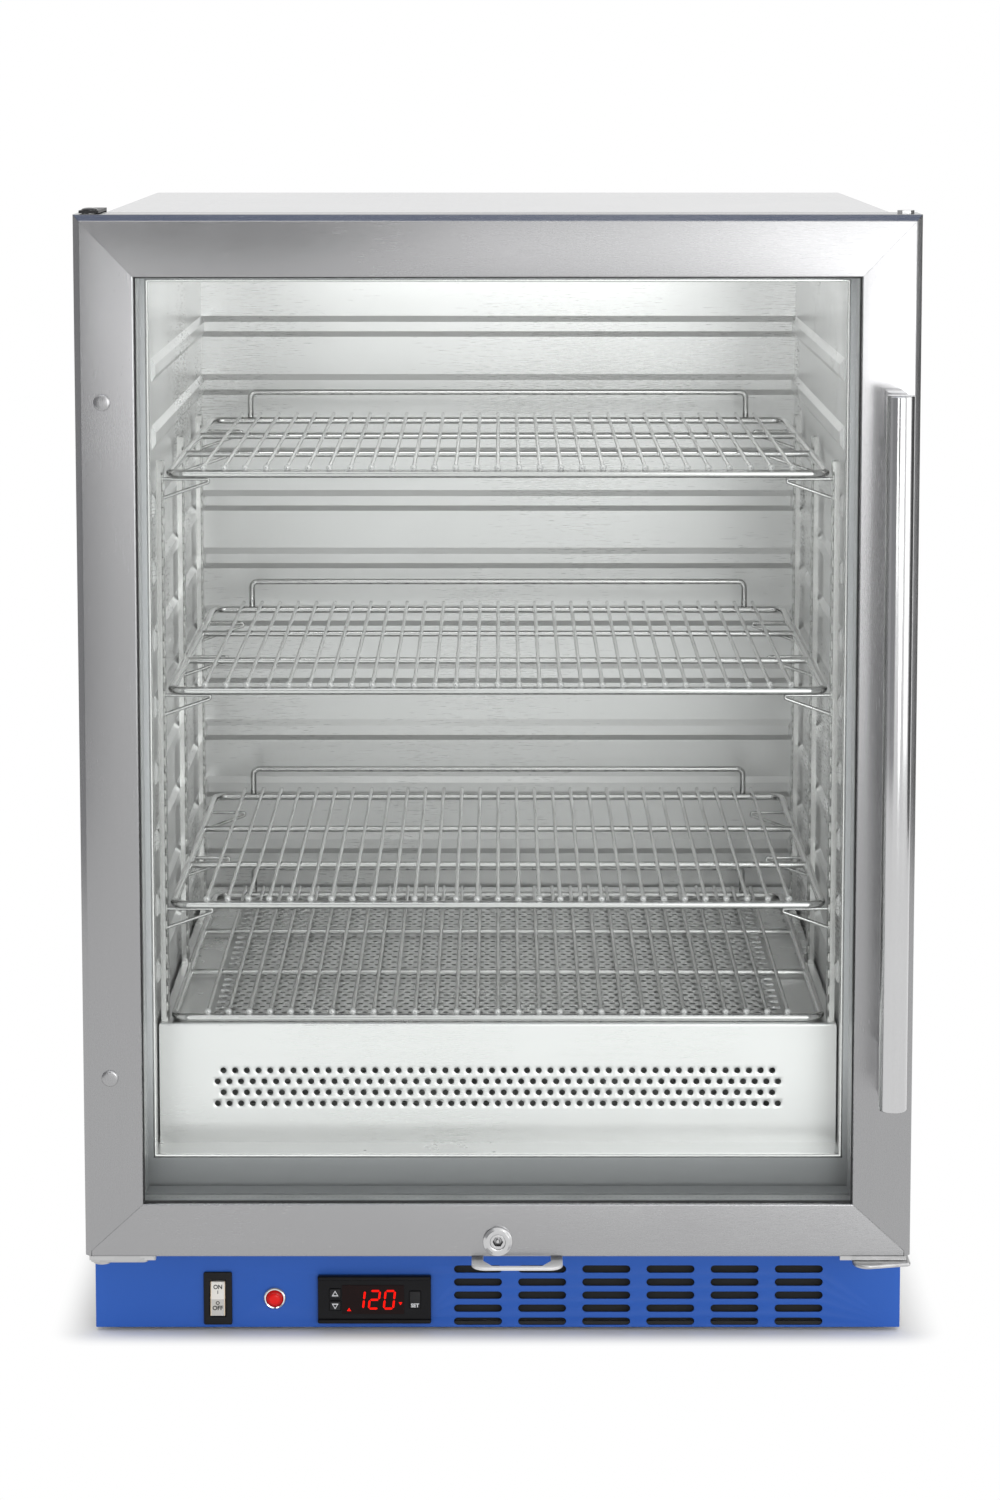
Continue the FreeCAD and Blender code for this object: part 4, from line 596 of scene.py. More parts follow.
low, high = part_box("switch_bezel")
BEZEL_FRONT = low.y
switch_well = box_line(SWITCH_X, UP, 11.6 * MM, 28 * MM, 0.8 * MM)
BEZEL_STEPS = np.array([(21, 40, 1.4, 2, 1, 0.6), (17, 36, 0.8, 13, 8.5, 0.2)]) * MM
bezel = [
    upright(box_line(SWITCH_X, UP, wide, tall, corner), [switch_well], thick, BEZEL_FRONT + back, bevel)
    for wide, tall, corner, thick, back, bevel in BEZEL_STEPS
]
well_floor = (
    (SWITCH_X - 8 * MM, BEZEL_FRONT + 14 * MM, UP - 17 * MM), (SWITCH_X + 8 * MM, high.y, UP + 17 * MM)
)
bezel.append(slab(*well_floor))
piece("switch_bezel_moulding", bezel, "cabinet", black_plastic, ["switch_bezel"])


def coordinate(root, axis):
    """One coordinate of the object's own space."""
    return root.node("ShaderNodeSeparateXYZ", {0: own(root)}, output=axis)


CREAM, SHADED_CREAM, WARM = (0.84, 0.83, 0.78), (0.56, 0.56, 0.54), (0.80, 0.62, 0.42)
cream, vary, root = finish("cream_moulding", CREAM, 0.32, Specular_IOR_Level=0.3)
clouds = grain(root, 180.0)
# Painted shade: the rocker's lower half is coloured a darker grey than its cream upper half.
upper = ((coordinate(root, "Z") - UP) * 2500.0 + 0.5).mix((*SHADED_CREAM, 1), (*CREAM, 1))
side = (coordinate(root, "X") - SWITCH_X).math("ABSOLUTE") > 4.75 * MM
vary(
    Base_Color=(clouds * 0.2 + side * 0.8).mix(upper, (*WARM, 1)),
    Roughness=0.26 + clouds * 0.12,
    Normal=dent(grain(root, 1400.0), 0.08, 0.0001),
)
low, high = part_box("rocker")
HALF_ROCKER, PIN = 5.3 * MM, 1.2 * MM
rocker_line = [
    (1.2, 12.5), (-1.4, 0), (-2.4, -12.5), (4.5, -12.5), (9, -12.5 / 3), (9, 12.5 / 3), (4.5, 12.5),
]
rocker_bends = np.array([0.7, 2.0, 0.7, 0.6, 1, 1, 0.6]) * MM
rocker_side = arcs(np.array(rocker_line) * MM + (BEZEL_FRONT, UP), rocker_bends)
pin_line = [(0.1 * MM, low.x), (PIN, low.x), (PIN, high.x), (0.1 * MM, high.x)]
rocker_parts = [
    prism(rocker_side, "x", SWITCH_X - HALF_ROCKER, SWITCH_X + HALF_ROCKER),
    spun(pin_line, (0, BEZEL_FRONT + 3 * MM, UP), "x", 20, 1),
]
piece("rocker_key", rocker_parts, "switch", cream, ["rocker"])


def lettering(word, size, x, z, y, thick=0.12 * MM):
    """A word as raised flat letters that face the front, centred on a point."""
    text = bpy.data.curves.new(word, "FONT")
    text.body, text.size, text.extrude, text.align_x, text.align_y = word, size, thick / 2, "CENTER", "CENTER"
    text.resolution_u, text.offset = 4, size * 0.03
    holder = bpy.data.objects.new(word, text)
    flat = bpy.data.meshes.new_from_object(holder)
    points = np.zeros(len(flat.vertices) * 3)
    flat.vertices.foreach_get("co", points)
    points = points.reshape(-1, 3)[:, [0, 2, 1]] * (1, -1, 1)
    faces = [list(side.vertices) for side in flat.polygons]
    bpy.data.batch_remove([holder, text, flat])
    return points + np.array([x, y, z]), faces


def leaning(part, slope):
    """Lays lettering on the rocker: its depth moves by slope for each metre above the pivot."""
    points, faces = part
    points[:, 1] += BEZEL_FRONT - 1.46 * MM + (points[:, 2] - UP) * slope
    return points, faces


ink = cast("black_print", (0.02, 0.02, 0.02), 0.5, 800.0, 0.1)
UPPER, LOWER = 2.6 / 12.5, 1.0 / 12.5  # slopes of the rocker's two halves
WORDS = (("ON", 4.2, 8.6, UPPER), ("I", 3.2, 4.9, UPPER), ("O", 3.6, -2.9, LOWER), ("OFF", 4.4, -6.6, LOWER))
marks = [
    leaning(lettering(word, size * MM, SWITCH_X, UP + up * MM, 0), slope) for word, size, up, slope in WORDS
]
piece("rocker_marks", marks, "switch", ink)

# ---------------------------------------------------------------- pilot lamp
# A turned and chromed ring, whose barrel goes back through the panel, holds a domed red lens. The
# lens is moulded with a stepped face, and its middle is lit from behind.
def clouded(name, colour, shades, scale, rough, relief=None, metallic=0.0, **sockets):
    """A surface whose tone and gloss drift with one soft noise.

    Rough is (middle, least, spread); relief is the (scale, strength, distance) of its finest bumps.
    """
    made, vary, root = finish(name, colour, rough[0], metallic, **sockets)
    clouds = grain(root, scale)
    vary(Base_Color=clouds.mix(*shades), Roughness=rough[1] + clouds * rough[2])
    if relief:
        vary(Normal=dent(grain(root, relief[0]), *relief[1:]))
    return made, vary, root


def chrome(name, colour=(0.80, 0.80, 0.80), roughness=0.10, metallic=1.0):
    """Polished plate: nearly a mirror, with a trace of haze and fine wiping marks."""
    rough, wiping = (roughness, roughness - 0.04, 0.09), (900.0, 0.03, 0.00005)
    return clouded(name, colour, tones(colour, 0.94, 1.04), 40.0, rough, wiping, metallic)[0]


lamp_at = (LAMP_X, panel_y, UP)
ring = [
    (6.1, -3), (6.1, 1.2), (6.6, 2.2), (7.3, 2.4), (8.0, 1.9), (8.5, 0.9), (8.5, 0), (6.4, 0), (6.4, -24),
    (5.0, -24), (5.0, -3),
]
lamp_ring = spun(np.array(ring) * MM, lamp_at, sides=56, hollow=True)
piece("lamp_ring", [lamp_ring], "cabinet", chrome("bright_chrome"), ["lamp_bezel"])
RED = (0.42, 0.006, 0.005)
red_lens, vary, root = clouded(
    "red_lens", RED, tones(RED, 0.85, 1.1), 300.0, (0.16, 0.12, 0.08), Emission_Strength=0.35,
    Specular_IOR_Level=0.25,
)
across, along = coordinate(root, "X") - LAMP_X, coordinate(root, "Z") - UP
disc = (across * across + along * along).math("SQRT") < 4.1 * MM
vary(Emission_Color=disc.mix((0.35, 0.0, 0.0, 1), (1.0, 0.004, 0.002, 1)))
lens_line = [
    (6.0, -2.4), (6.0, 2.0), (5.6, 2.7), (4.6, 3.2), (4.1, 3.3), (3.9, 3.7), (3.3, 4.1), (1.8, 4.35),
    (0.05, 4.4),
]
lens = spun(np.array(lens_line) * MM, lamp_at, sides=48)
piece("lamp_lens_cap", [lens], "cabinet", red_lens, ["lamp_lens"])

# ---------------------------------------------------------------- controller
# A black moulded panel controller: lips above and below, and a smoked window over red digits. Its
# three keys are separate mouldings, printed in grey, and each springs in its own well.
low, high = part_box("controller_front")
DISH, LIP, LIP_EDGE = low.y + 2 * MM, 3.2 * MM, 1.1 * MM
DIAL = (0.006, 0.006, 0.007)
dial_black = clouded(
    "dial_black", DIAL, tones(DIAL, 0.8, 1.4), 90.0, (0.26, 0.18, 0.10), (1500.0, 0.05, 0.00005),
    Specular_IOR_Level=0.14,
)[0]
wells = [
    box_line(DIAL_X + x * MM, UP, 8.6 * MM, tall * MM, 1.2 * MM) for x, tall in ((-29, 17.2), (30, 13.6))
]
bars = [
    soft_box((low.x, low.y, high.z - LIP), (high.x, high.y, high.z), LIP_EDGE),
    soft_box((low.x, low.y, low.z), (high.x, high.y, low.z + LIP), LIP_EDGE),
    slab((low.x + 0.2 * MM, DISH + 0.9 * MM, low.z + 1 * MM), (high.x - 0.2 * MM, high.y, high.z - 1 * MM)),
    upright(box_line(DIAL_X, UP, 83.4 * MM, 31 * MM, 0.5 * MM), wells, 1.2 * MM, DISH + 0.6 * MM, 0.2 * MM),
]
piece("controller_front_moulding", bars, "cabinet", dial_black, ["controller_front"])

smoke = clouded(
    "smoked_window", (0.005, 0.002, 0.002), ((0.006, 0.002, 0.002, 1), (0.014, 0.004, 0.004, 1)), 60.0,
    (0.09, 0.05, 0.06), Specular_IOR_Level=0.12,
)[0]
pane_line = box_line(DIAL_X - 1 * MM, UP, 46 * MM, 22 * MM, 0.6 * MM)
pane = upright(pane_line, [], 0.5 * MM, DISH - 0.1 * MM, 0.12 * MM)
piece("display_pane", [pane], "cabinet", smoke, ["display_window"])

SEGMENTS = {"1": "bc", "2": "abged", "0": "abcdef"}
STROKE, DIGIT_W, DIGIT_H, LEAN, DIGIT_STEP, GAP = 1.5 * MM, 6.9 * MM, 13.4 * MM, 0.11, 11.1 * MM, 0.35 * MM
DIGIT_Y, DIGIT_DEEP = DISH - 0.5 * MM, 0.15 * MM


def digit(sign, x, z):
    """A seven-segment figure: each lit segment is a bar with pointed ends, sheared to the right."""
    w, h, s = DIGIT_W / 2, DIGIT_H / 2, STROKE / 2
    ends = {
        "a": ((-w, h), (w, h)), "b": ((w, h), (w, 0)), "c": ((w, 0), (w, -h)), "d": ((-w, -h), (w, -h)),
        "e": ((-w, 0), (-w, -h)), "f": ((-w, h), (-w, 0)), "g": ((-w, 0), (w, 0)),
    }
    made = []
    for name in SEGMENTS[sign]:
        a, b = np.array(ends[name])
        along = (b - a) / np.linalg.norm(b - a)
        side = np.array([-along[1], along[0]])
        a, b = a + along * GAP, b - along * GAP
        upper, lower = (along + side) * s, (along - side) * s
        line = np.array([a, a + upper, b - lower, b, b - upper, a + lower])
        line[:, 0] += line[:, 1] * LEAN
        made.append(prism(line + (x, z), "y", DIGIT_Y, DIGIT_Y + DIGIT_DEEP))
    return made


glow, vary, root = finish("red_digits", (0.3, 0.0, 0.0), 0.5, Emission_Strength=1.2, Specular_IOR_Level=0.0)
vary(Emission_Color=grain(root, 900.0).mix((0.90, 0.006, 0.003, 1), (1.0, 0.016, 0.008, 1)))
digits = [bar for i, sign in enumerate("120") for bar in digit(sign, DIAL_X + (i - 1) * DIGIT_STEP, UP)]
for signal in ([(-20.2, -8.6), (-17.2, -8.6), (-18.7, -6.2)], [(18.0, -1.9), (20.6, -1.9), (19.3, -4.1)]):
    digits.append(prism(np.array(signal) * MM + (DIAL_X, UP), "y", DIGIT_Y, DIGIT_Y + DIGIT_DEEP))
piece("display_digits", digits, "cabinet", glow)

key_black = cast("key_black", (0.016, 0.016, 0.017), 0.42, 1800.0, 0.2, Specular_IOR_Level=0.2)
key_print, vary, root = finish("grey_print", (0.70, 0.71, 0.72), 0.5)
vary(Base_Color=grain(root, 1200.0).mix((0.64, 0.65, 0.66, 1), (0.78, 0.79, 0.80, 1)))
for key, body, way in (("key_up", "up_key", 1), ("key_down", "down_key", -1), ("key_set", "setting_key", 0)):
    low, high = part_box(key)
    piece(f"{key}_button", [soft_box(low, high, 0.7 * MM)], body, key_black, [key])
    x, z, y = (low.x + high.x) / 2, (low.z + high.z) / 2, low.y - 0.08 * MM
    if way:
        arrow = np.array([(-2.5, -1.9), (2.5, -1.9), (0, 2.4)]) * MM * (1, way)
        mark = upright(arrow + (x, z), [arrow * 0.60 + (x, z)], 0.1 * MM, y, 0.01 * MM)
    else:
        mark = lettering("SET", 3.9 * MM, x, z - 4.3 * MM, y, 0.2 * MM)
    piece(f"{key}_mark", [mark], body, key_print)

# ---------------------------------------------------------------- cavity
# The liner is bright stainless steel, deep drawn with pressed ribs; a grey moulded strip joins it
# to the outer case all round the door opening.
LINER = (0.94, 0.94, 0.93)
dress(brushed("bright_liner", LINER, 0.30, "xy", 0.12, 0.08, 0.02, Metallic=0.5), "inner_liner")
# The strips' colour is painted light: darker towards the bottom as painted shade, nearly white above.
PAINTED_SHADE_TOP, SHADE_FADE_RATE = 0.124, 12.0  # where the strips start to lighten, and how fast, per metre


def strip(name, below, above):
    """A grey moulded strip, with painted shade along its bottom run and painted light above it."""
    made, vary, root = finish(name, below, 0.5)
    level = (coordinate(root, "Z") - PAINTED_SHADE_TOP) * SHADE_FADE_RATE
    texture = grain(root, 900.0)
    tone = level.mix((*below, 1), (*above, 1))
    vary(
        Base_Color=(texture * 0.12).mix(tone, tones(below, 0.8, 1.0)[0]),
        Roughness=0.46 + texture * 0.1,
        Normal=dent(texture, 0.2, 0.00015),
    )
    return made


def ring_of(half_x, low_z, high_z, line):
    """A section of (inset, depth) points carried round a rectangle, mitred at its corners."""
    inset, depth = line[:, 0], line[:, 1]
    corners = ((-1, low_z, 1), (1, low_z, 1), (1, high_z, -1), (-1, high_z, -1))
    rings = [np.stack([way * (half_x - inset), depth, z + up * inset], 1) for way, z, up in corners]
    return tube(rings, closed=True)


# The breaker's colour holds painted shade along its bottom run and painted light above it.
dress(strip("grey_breaker_painted_light", (0.36, 0.37, 0.38), (0.92, 0.93, 0.95)), "front_breaker")

# The liner's front edge is rolled over into a bead that stands a little proud of its walls.
roll = np.array([(-0.2, -2.9), (2.6, -2.9), (2.6, 1.4), (-0.2, 1.4)]) * MM + (0, liner_low.y)
roll_line = arcs(roll, 1.2 * MM, 4)
mouth = ring_of(liner_high.x - 1 * MM, liner_low.z + 1 * MM, liner_high.z - 1 * MM, roll_line)
roll_steel = chrome("rolled_edge", (0.90, 0.90, 0.89), 0.18)
piece("liner_rolled_edge", [mouth], "cabinet", roll_steel)

# ---------------------------------------------------------------- heater, fan and sensors
# Under the cover: a steel-sheathed element, tinted by heat, on notched straps, and a fan with an
# aluminium impeller and an enamelled motor. The two heat sensors are zinc plated.
element_steel = clouded(
    "heat_tinted_steel", (0.30, 0.27, 0.24), ((0.20, 0.16, 0.14, 1), (0.42, 0.38, 0.33, 1)), 25.0,
    (0.45, 0.36, 0.2), (700.0, 0.15, 0.0001), 1.0,
)[0]
dress(element_steel, "heating_element")
dress(cast("motor_enamel", (0.06, 0.06, 0.06), 0.4, 500.0, 0.3), "fan_motor")
dress(brushed("fan_aluminium", (0.62, 0.62, 0.61), 0.38, "x"), "fan_impeller")
dress(bright_zinc, "heat_sensors")

# ---------------------------------------------------------------- heater cover
# A folded stainless box over the heater. Its front has four staggered rows of punched holes, and
# the same pattern fills its top; the punch leaves a soft edge round each hole.
def four_ways(*quarter):
    """A ring of points from its first quarter, mirrored across both axes."""
    first = np.array(quarter, float)
    upper = np.vstack([first, first[-2::-1] * (-1, 1)])
    return np.vstack([upper, upper[-2:0:-1] * (1, -1)])


def cells(rings, depths, centres, turn, origin):
    """Copies of one cell, a stack of (n, 2) rings at their depths, about each centre in a sheet's plane."""
    count, sides = len(rings), len(rings[0])
    depth = np.broadcast_to(np.array(depths)[:, None, None], (count, sides, 1))
    cell = np.concatenate([np.stack(rings), depth], 2).reshape(-1, 3)
    flat = np.concatenate([centres, np.zeros((len(centres), 1))], 1)
    points = (flat[:, None] + cell[None]).reshape(-1, 3) @ np.array(turn, float) + np.array(origin)
    starts = np.arange(len(centres))[:, None, None] * (count * sides)
    return points, (starts + quads(count, sides, wrap_columns=True)[None]).reshape(-1, 4).tolist()


low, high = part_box("heater_cover")
BEND, PITCH, ROW, HOLE = 2.2 * MM, 8.72 * MM, 8.4 * MM, 2.2 * MM
ACROSS, FRONT_ROWS, TOP_ROWS = 49, 4, 46
FIRST_ROW, top_start = 161.0 * MM, low.y + 22 * MM
half_pattern = ACROSS * PITCH / 2


def punched(rows, start, sides, origin, turn):
    """Staggered rows of round holes; every other row has one hole fewer and sits half a pitch along."""
    centres = []
    for i in range(rows):
        count = ACROSS - i % 2
        along = (np.arange(count) - (count - 1) / 2) * PITCH
        centres.append(np.stack([along, np.full(count, start + i * ROW)], 1))
    around = 2 * math.pi * np.arange(sides) / sides
    ray = np.stack([np.cos(around), np.sin(around)], 1)
    quarter = [(1, 0), (1, 1), (0, 1)] if sides == 8 else [(1, 0), (1, 0.5), (1, 1), (0, 1)]
    rim = four_ways(*quarter) * (PITCH / 2, ROW / 2)
    rings = [rim, ray * (HOLE + 0.5 * MM), ray * HOLE, ray * HOLE, rim]
    return cells(rings, [0, 0, 0.35 * MM, SHEET, SHEET], np.vstack(centres), turn, origin)


def sheet_round(x0, x1, b0, b1, start, rows, place):
    """The plain sheet round a field of holes: margins, and half cells at the ends of the short rows."""
    a0, a1 = start - ROW / 2, start + (rows - 0.5) * ROW
    strips = [(x0, b0, x1, a0), (x0, a1, x1, b1), (x0, a0, -half_pattern, a1), (half_pattern, a0, x1, a1)]
    for i in range(1, rows, 2):
        z = a0 + ROW * i
        strips.append((-half_pattern, z, -half_pattern + PITCH / 2, z + ROW))
        strips.append((half_pattern - PITCH / 2, z, half_pattern, z + ROW))
    return [slab(*place(*strip)) for strip in strips]


front_field = punched(FRONT_ROWS, FIRST_ROW, 12, (0, low.y, 0), STANDING)
front_margin = sheet_round(
    low.x, high.x, low.z, high.z - BEND, FIRST_ROW, FRONT_ROWS,
    lambda x0, z0, x1, z1: ((x0, low.y, z0), (x1, low.y + SHEET, z1)),
)
top_field = punched(TOP_ROWS, top_start, 8, (0, 0, high.z), ((1, 0, 0), (0, 1, 0), (0, 0, -1)))
top_margin = sheet_round(
    low.x + BEND, high.x - BEND, low.y + BEND, high.y, top_start, TOP_ROWS,
    lambda x0, y0, x1, y1: ((x0, y0, high.z - SHEET), (x1, y1, high.z)),
)
t = np.linspace(0, math.pi / 2, 7)
bend_line = np.stack([-np.cos(t), np.sin(t)], 1)
fold = np.vstack([bend_line * BEND, (bend_line * (BEND - SHEET))[::-1]])
cover_parts = [prism(fold + (low.y + BEND, high.z - BEND), "x", low.x + 0.4 * MM, high.x - 0.4 * MM)]
for edge_x, way in ((low.x, 1), (high.x, -1)):
    over = fold * (way, 1) + (edge_x + way * BEND, high.z - BEND)
    cover_parts.append(prism(over, "y", low.y + BEND, high.y))
    cover_parts.append(slab((edge_x, low.y + SHEET, low.z), (edge_x + way * SHEET, high.y, high.z - BEND)))
cover_steel = brushed("cover_stainless", (0.92, 0.92, 0.91), 0.30, "xy", 0.25, 0.1, 0.06)
cover_front = [front_field, *front_margin, *cover_parts]
piece("heater_cover_front", cover_front, "cabinet", cover_steel, ["heater_cover"])
piece("heater_cover_top", [top_field, *top_margin], "cabinet", cover_steel)

# ---------------------------------------------------------------- pilasters and clips
# Slotted stainless channels screwed to the liner, one slot every 12.4 mm, and wire clips bent to a
# flat triangle that hook into them and carry the shelves.
def bar(path, radius, sides=14, up=(0, 0, 1), closed=False, crown=0):
    """A round bar along a path: rings of one radius about each point, square to the path's tangent."""
    path, up = np.asarray(path, float), np.asarray(up, float)
    if closed:
        along = np.roll(path, -1, 0) - np.roll(path, 1, 0)
    else:
        along = np.gradient(path, axis=0)
    along /= np.linalg.norm(along, axis=1, keepdims=True)
    size = np.full(len(path), radius)
    if crown:
        t = np.linspace(0, math.pi / 2, crown + 1)[1:]
        out, draw = (radius * np.sin(t))[:, None], radius * np.maximum(np.cos(t), 0.08)
        path = np.vstack([(path[0] - along[0] * out)[::-1], path, path[-1] + along[-1] * out])
        along = np.vstack([np.repeat(along[:1], crown, 0), along, np.repeat(along[-1:], crown, 0)])
        size = np.concatenate([draw[::-1], size, draw])
    side = np.cross(along, up)
    side /= np.linalg.norm(side, axis=1, keepdims=True)
    lift = np.cross(side, along)
    turn = np.linspace(0, 2 * math.pi, sides, endpoint=False)[None, :, None]
    around = np.cos(turn) * side[:, None] + np.sin(turn) * lift[:, None]
    return tube(path[:, None] + size[:, None, None] * around, closed)


RACKS = {
    "bottom_rack": "rack_bottom", "shelf_lower": "rack_lower", "shelf_middle": "rack_middle",
    "shelf_top": "rack_top",
}
low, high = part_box("shelf_pilasters")
POST_WIDE, POST_DEEP, POST_THICK = 14 * MM, 5 * MM, 1.2 * MM
SLOTS_PER_SHELF = 13
post_ys = np.linspace(low.y + POST_WIDE / 2, high.y - POST_WIDE / 2, 3)
shelf_boxes = {name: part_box(name) for name in RACKS}
SLOT_STEP = (shelf_boxes["shelf_top"][0].z - shelf_boxes["shelf_middle"][0].z) / SLOTS_PER_SHELF
clip_top = shelf_boxes["shelf_lower"][0].z - 1.55 * MM
first_slot = clip_top - math.floor((clip_top - low.z - 8 * MM) / SLOT_STEP) * SLOT_STEP
slot_count = int((high.z - first_slot - 5 * MM) / SLOT_STEP) + 1
slot_ups = first_slot + SLOT_STEP * np.arange(slot_count)
slot_cell = four_ways((1, 0), (1, 0.5), (1, 1), (0, 1)) * (POST_WIDE / 2, SLOT_STEP / 2)
slot_edge = four_ways((1, 0), (1, 0.55), (0.75, 0.85), (0, 1)) * (1.9 * MM, 4.0 * MM)
slot_rings, slot_depths = [slot_cell, slot_edge, slot_edge, slot_cell], [0, 0, POST_THICK, POST_THICK]
post_parts = []
for way in (-1, 1):
    front_x = way * (high.x - POST_DEEP)
    web_x, wall_x = front_x + way * POST_THICK, front_x + way * POST_DEEP
    turn = ((0, 1, 0), (0, 0, 1), (way, 0, 0))
    for y in post_ys:
        y0, y1 = y - POST_WIDE / 2, y + POST_WIDE / 2
        centres = np.stack([np.full(slot_count, y), slot_ups], 1)
        post_parts.append(cells(slot_rings, slot_depths, centres, turn, (front_x, 0, 0)))
        for start, end in ((low.z, slot_ups[0] - SLOT_STEP / 2), (slot_ups[-1] + SLOT_STEP / 2, high.z)):
            post_parts.append(slab((front_x, y0, start), (web_x, y1, end)))
        for edge_y in (y0, y1 - POST_THICK):
            post_parts.append(slab((web_x, edge_y, low.z), (wall_x, edge_y + POST_THICK, high.z)))
post_steel = brushed("pilaster_stainless", (0.76, 0.76, 0.75), 0.24, "z", streaks=0.4, speckle=0.1)
piece("slotted_pilasters", post_parts, "cabinet", post_steel, ["shelf_pilasters"], sharp=30)

WIRE = chrome("bright_wire", (0.68, 0.68, 0.675), 0.14)
CLIP_REACH, CLIP_DROP, CLIP_R = 33 * MM, 15 * MM, 1.25 * MM
post_x = high.x - POST_DEEP
hook_x, tip = post_x + 3 * MM, post_x - CLIP_REACH
clips = []
for way in (-1, 1):
    for y in post_ys:
        for name in ("shelf_lower", "shelf_middle", "shelf_top"):
            top = shelf_boxes[name][0].z - 0.3 * MM - CLIP_R
            run = [(hook_x, y, top), (tip, y, top), (tip, y, top - 2.5 * MM), (hook_x, y, top - CLIP_DROP)]
            path = arcs(run, [0, 1.2 * MM, 1.2 * MM, 0], 4, closed=False) * (way, 1, 1)
            clips.append(bar(path, CLIP_R, 12, up=(0, 1, 0)))
piece("wire_clips", clips, "cabinet", WIRE, ["shelf_clips"])

# ---------------------------------------------------------------- wire shelves
# Each shelf is a rail bent to a rounded rectangle with cross rails and a raised rear guard; 29
# wires with rounded ends are welded over it, and the whole is electropolished.
RAIL, CROSS, ROD = 3 * MM, 2.5 * MM, 1.5 * MM
DEEP, CORNER, INSET, COUNT, BEHIND, GUARD = 399 * MM, 11 * MM, 28.1 * MM, 29, 12 * MM, 24 * MM
# Painted highlight: the welds are a near-white, half-metal copy of the wire's chrome, so they read as bright
# glints.
weld_painted_highlight = chrome("weld_painted_highlight", (0.96, 0.96, 0.96), 0.34, 0.3)
weld = np.array([(0.1, -1.9), (1.5, -1.6), (2.3, -0.9), (2.6, 0.1), (2.3, 1.1), (1.5, 1.9), (0.1, 2.3)]) * MM
for name, (low, high) in shelf_boxes.items():
    half, level, front = high.x - RAIL, low.z + RAIL, low.y + RAIL
    back, lift = front + DEEP - 2 * RAIL, level + RAIL + ROD
    loop = [(-half, front, level), (half, front, level), (half, back, level), (-half, back, level)]
    parts = [bar(arcs(loop, CORNER, 10), RAIL, 18, closed=True)]
    for share in (1 / 3, 2 / 3):
        y, up = front + (back - front) * share, level + RAIL - CROSS
        parts.append(bar([(-half, y, up), (half, y, up)], CROSS, 16))
    pitch = (2 * (half + RAIL) - 2 * INSET) / (COUNT - 1)
    reach, foot, top = pitch * (COUNT / 2 - 1), level + RAIL, level + GUARD
    hoop = [(-reach, back, foot), (-reach, back, top), (reach, back, top), (reach, back, foot)]
    parts.append(bar(arcs(hoop, [0, 5 * MM, 5 * MM, 0], 6, closed=False), CROSS, 14, up=(0, 1, 0)))
    stations, welds = np.array([front - RAIL + ROD, front + 1 * MM, back, back + BEHIND - ROD]), []
    for x in pitch * (np.arange(COUNT) - (COUNT - 1) / 2):
        parts.append(bar(np.stack([np.full(4, x), stations, np.full(4, lift)], 1), ROD, 10, crown=3))
        welds.append(spun(weld, (x, front - 0.4 * MM, lift), "z", 12, 1))
    piece(f"{name}_wires", parts, RACKS[name], WIRE, [name], sharp=50)
    piece(f"{name}_welds", welds, RACKS[name], weld_painted_highlight)

# ---------------------------------------------------------------- door frame
# Four stainless members with mitred corners: a bevelled outer edge, a flat satin face and a thin
# rolled lip over the glass. Each is brushed along its own length.
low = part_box("door_stile_left")[0]
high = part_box("door_stile_right")[1]
FACE, DOOR_LOW, DOOR_TOP, HALF_DOOR = low.y, low.z, high.z, high.x
DOOR_DEEP, BEVEL, LIP_DEEP, COVER = high.y - low.y, 4.5 * MM, 6 * MM, 11 * MM
STILE, TOP_RAIL, LOW_RAIL, JOINT = 42.5 * MM, 44 * MM, 39 * MM, 0.12 * MM
WIDE, TALL, DOOR_MIDDLE = 2 * HALF_DOOR, DOOR_TOP - DOOR_LOW, (DOOR_LOW + DOOR_TOP) / 2
ARC_STEPS = 4
TO_FACE = 3 * (ARC_STEPS + 1)  # section points of the three corners before the face
ON_EDGE = 6  # the section point after which the outer edge runs flat


def member_line(wide, bevel):
    """A member's section: distance in from its outer edge, and depth behind its face."""
    corners = [
        (0, DOOR_DEEP), (0, bevel), (bevel, 0), (wide, 0), (wide, LIP_DEEP), (wide - COVER, LIP_DEEP),
        (wide - COVER, DOOR_DEEP),
    ]
    soft = 0.25 * bevel / MM
    line = arcs(corners, np.array([0.8, soft, soft, 1.1, 0.6, 0.4, 0.4]) * MM, ARC_STEPS)
    if bevel < BEVEL:
        line = np.vstack([[(BEVEL, DOOR_DEEP)], line[:TO_FACE], [(BEVEL, 0)], line[TO_FACE:]])
    return line


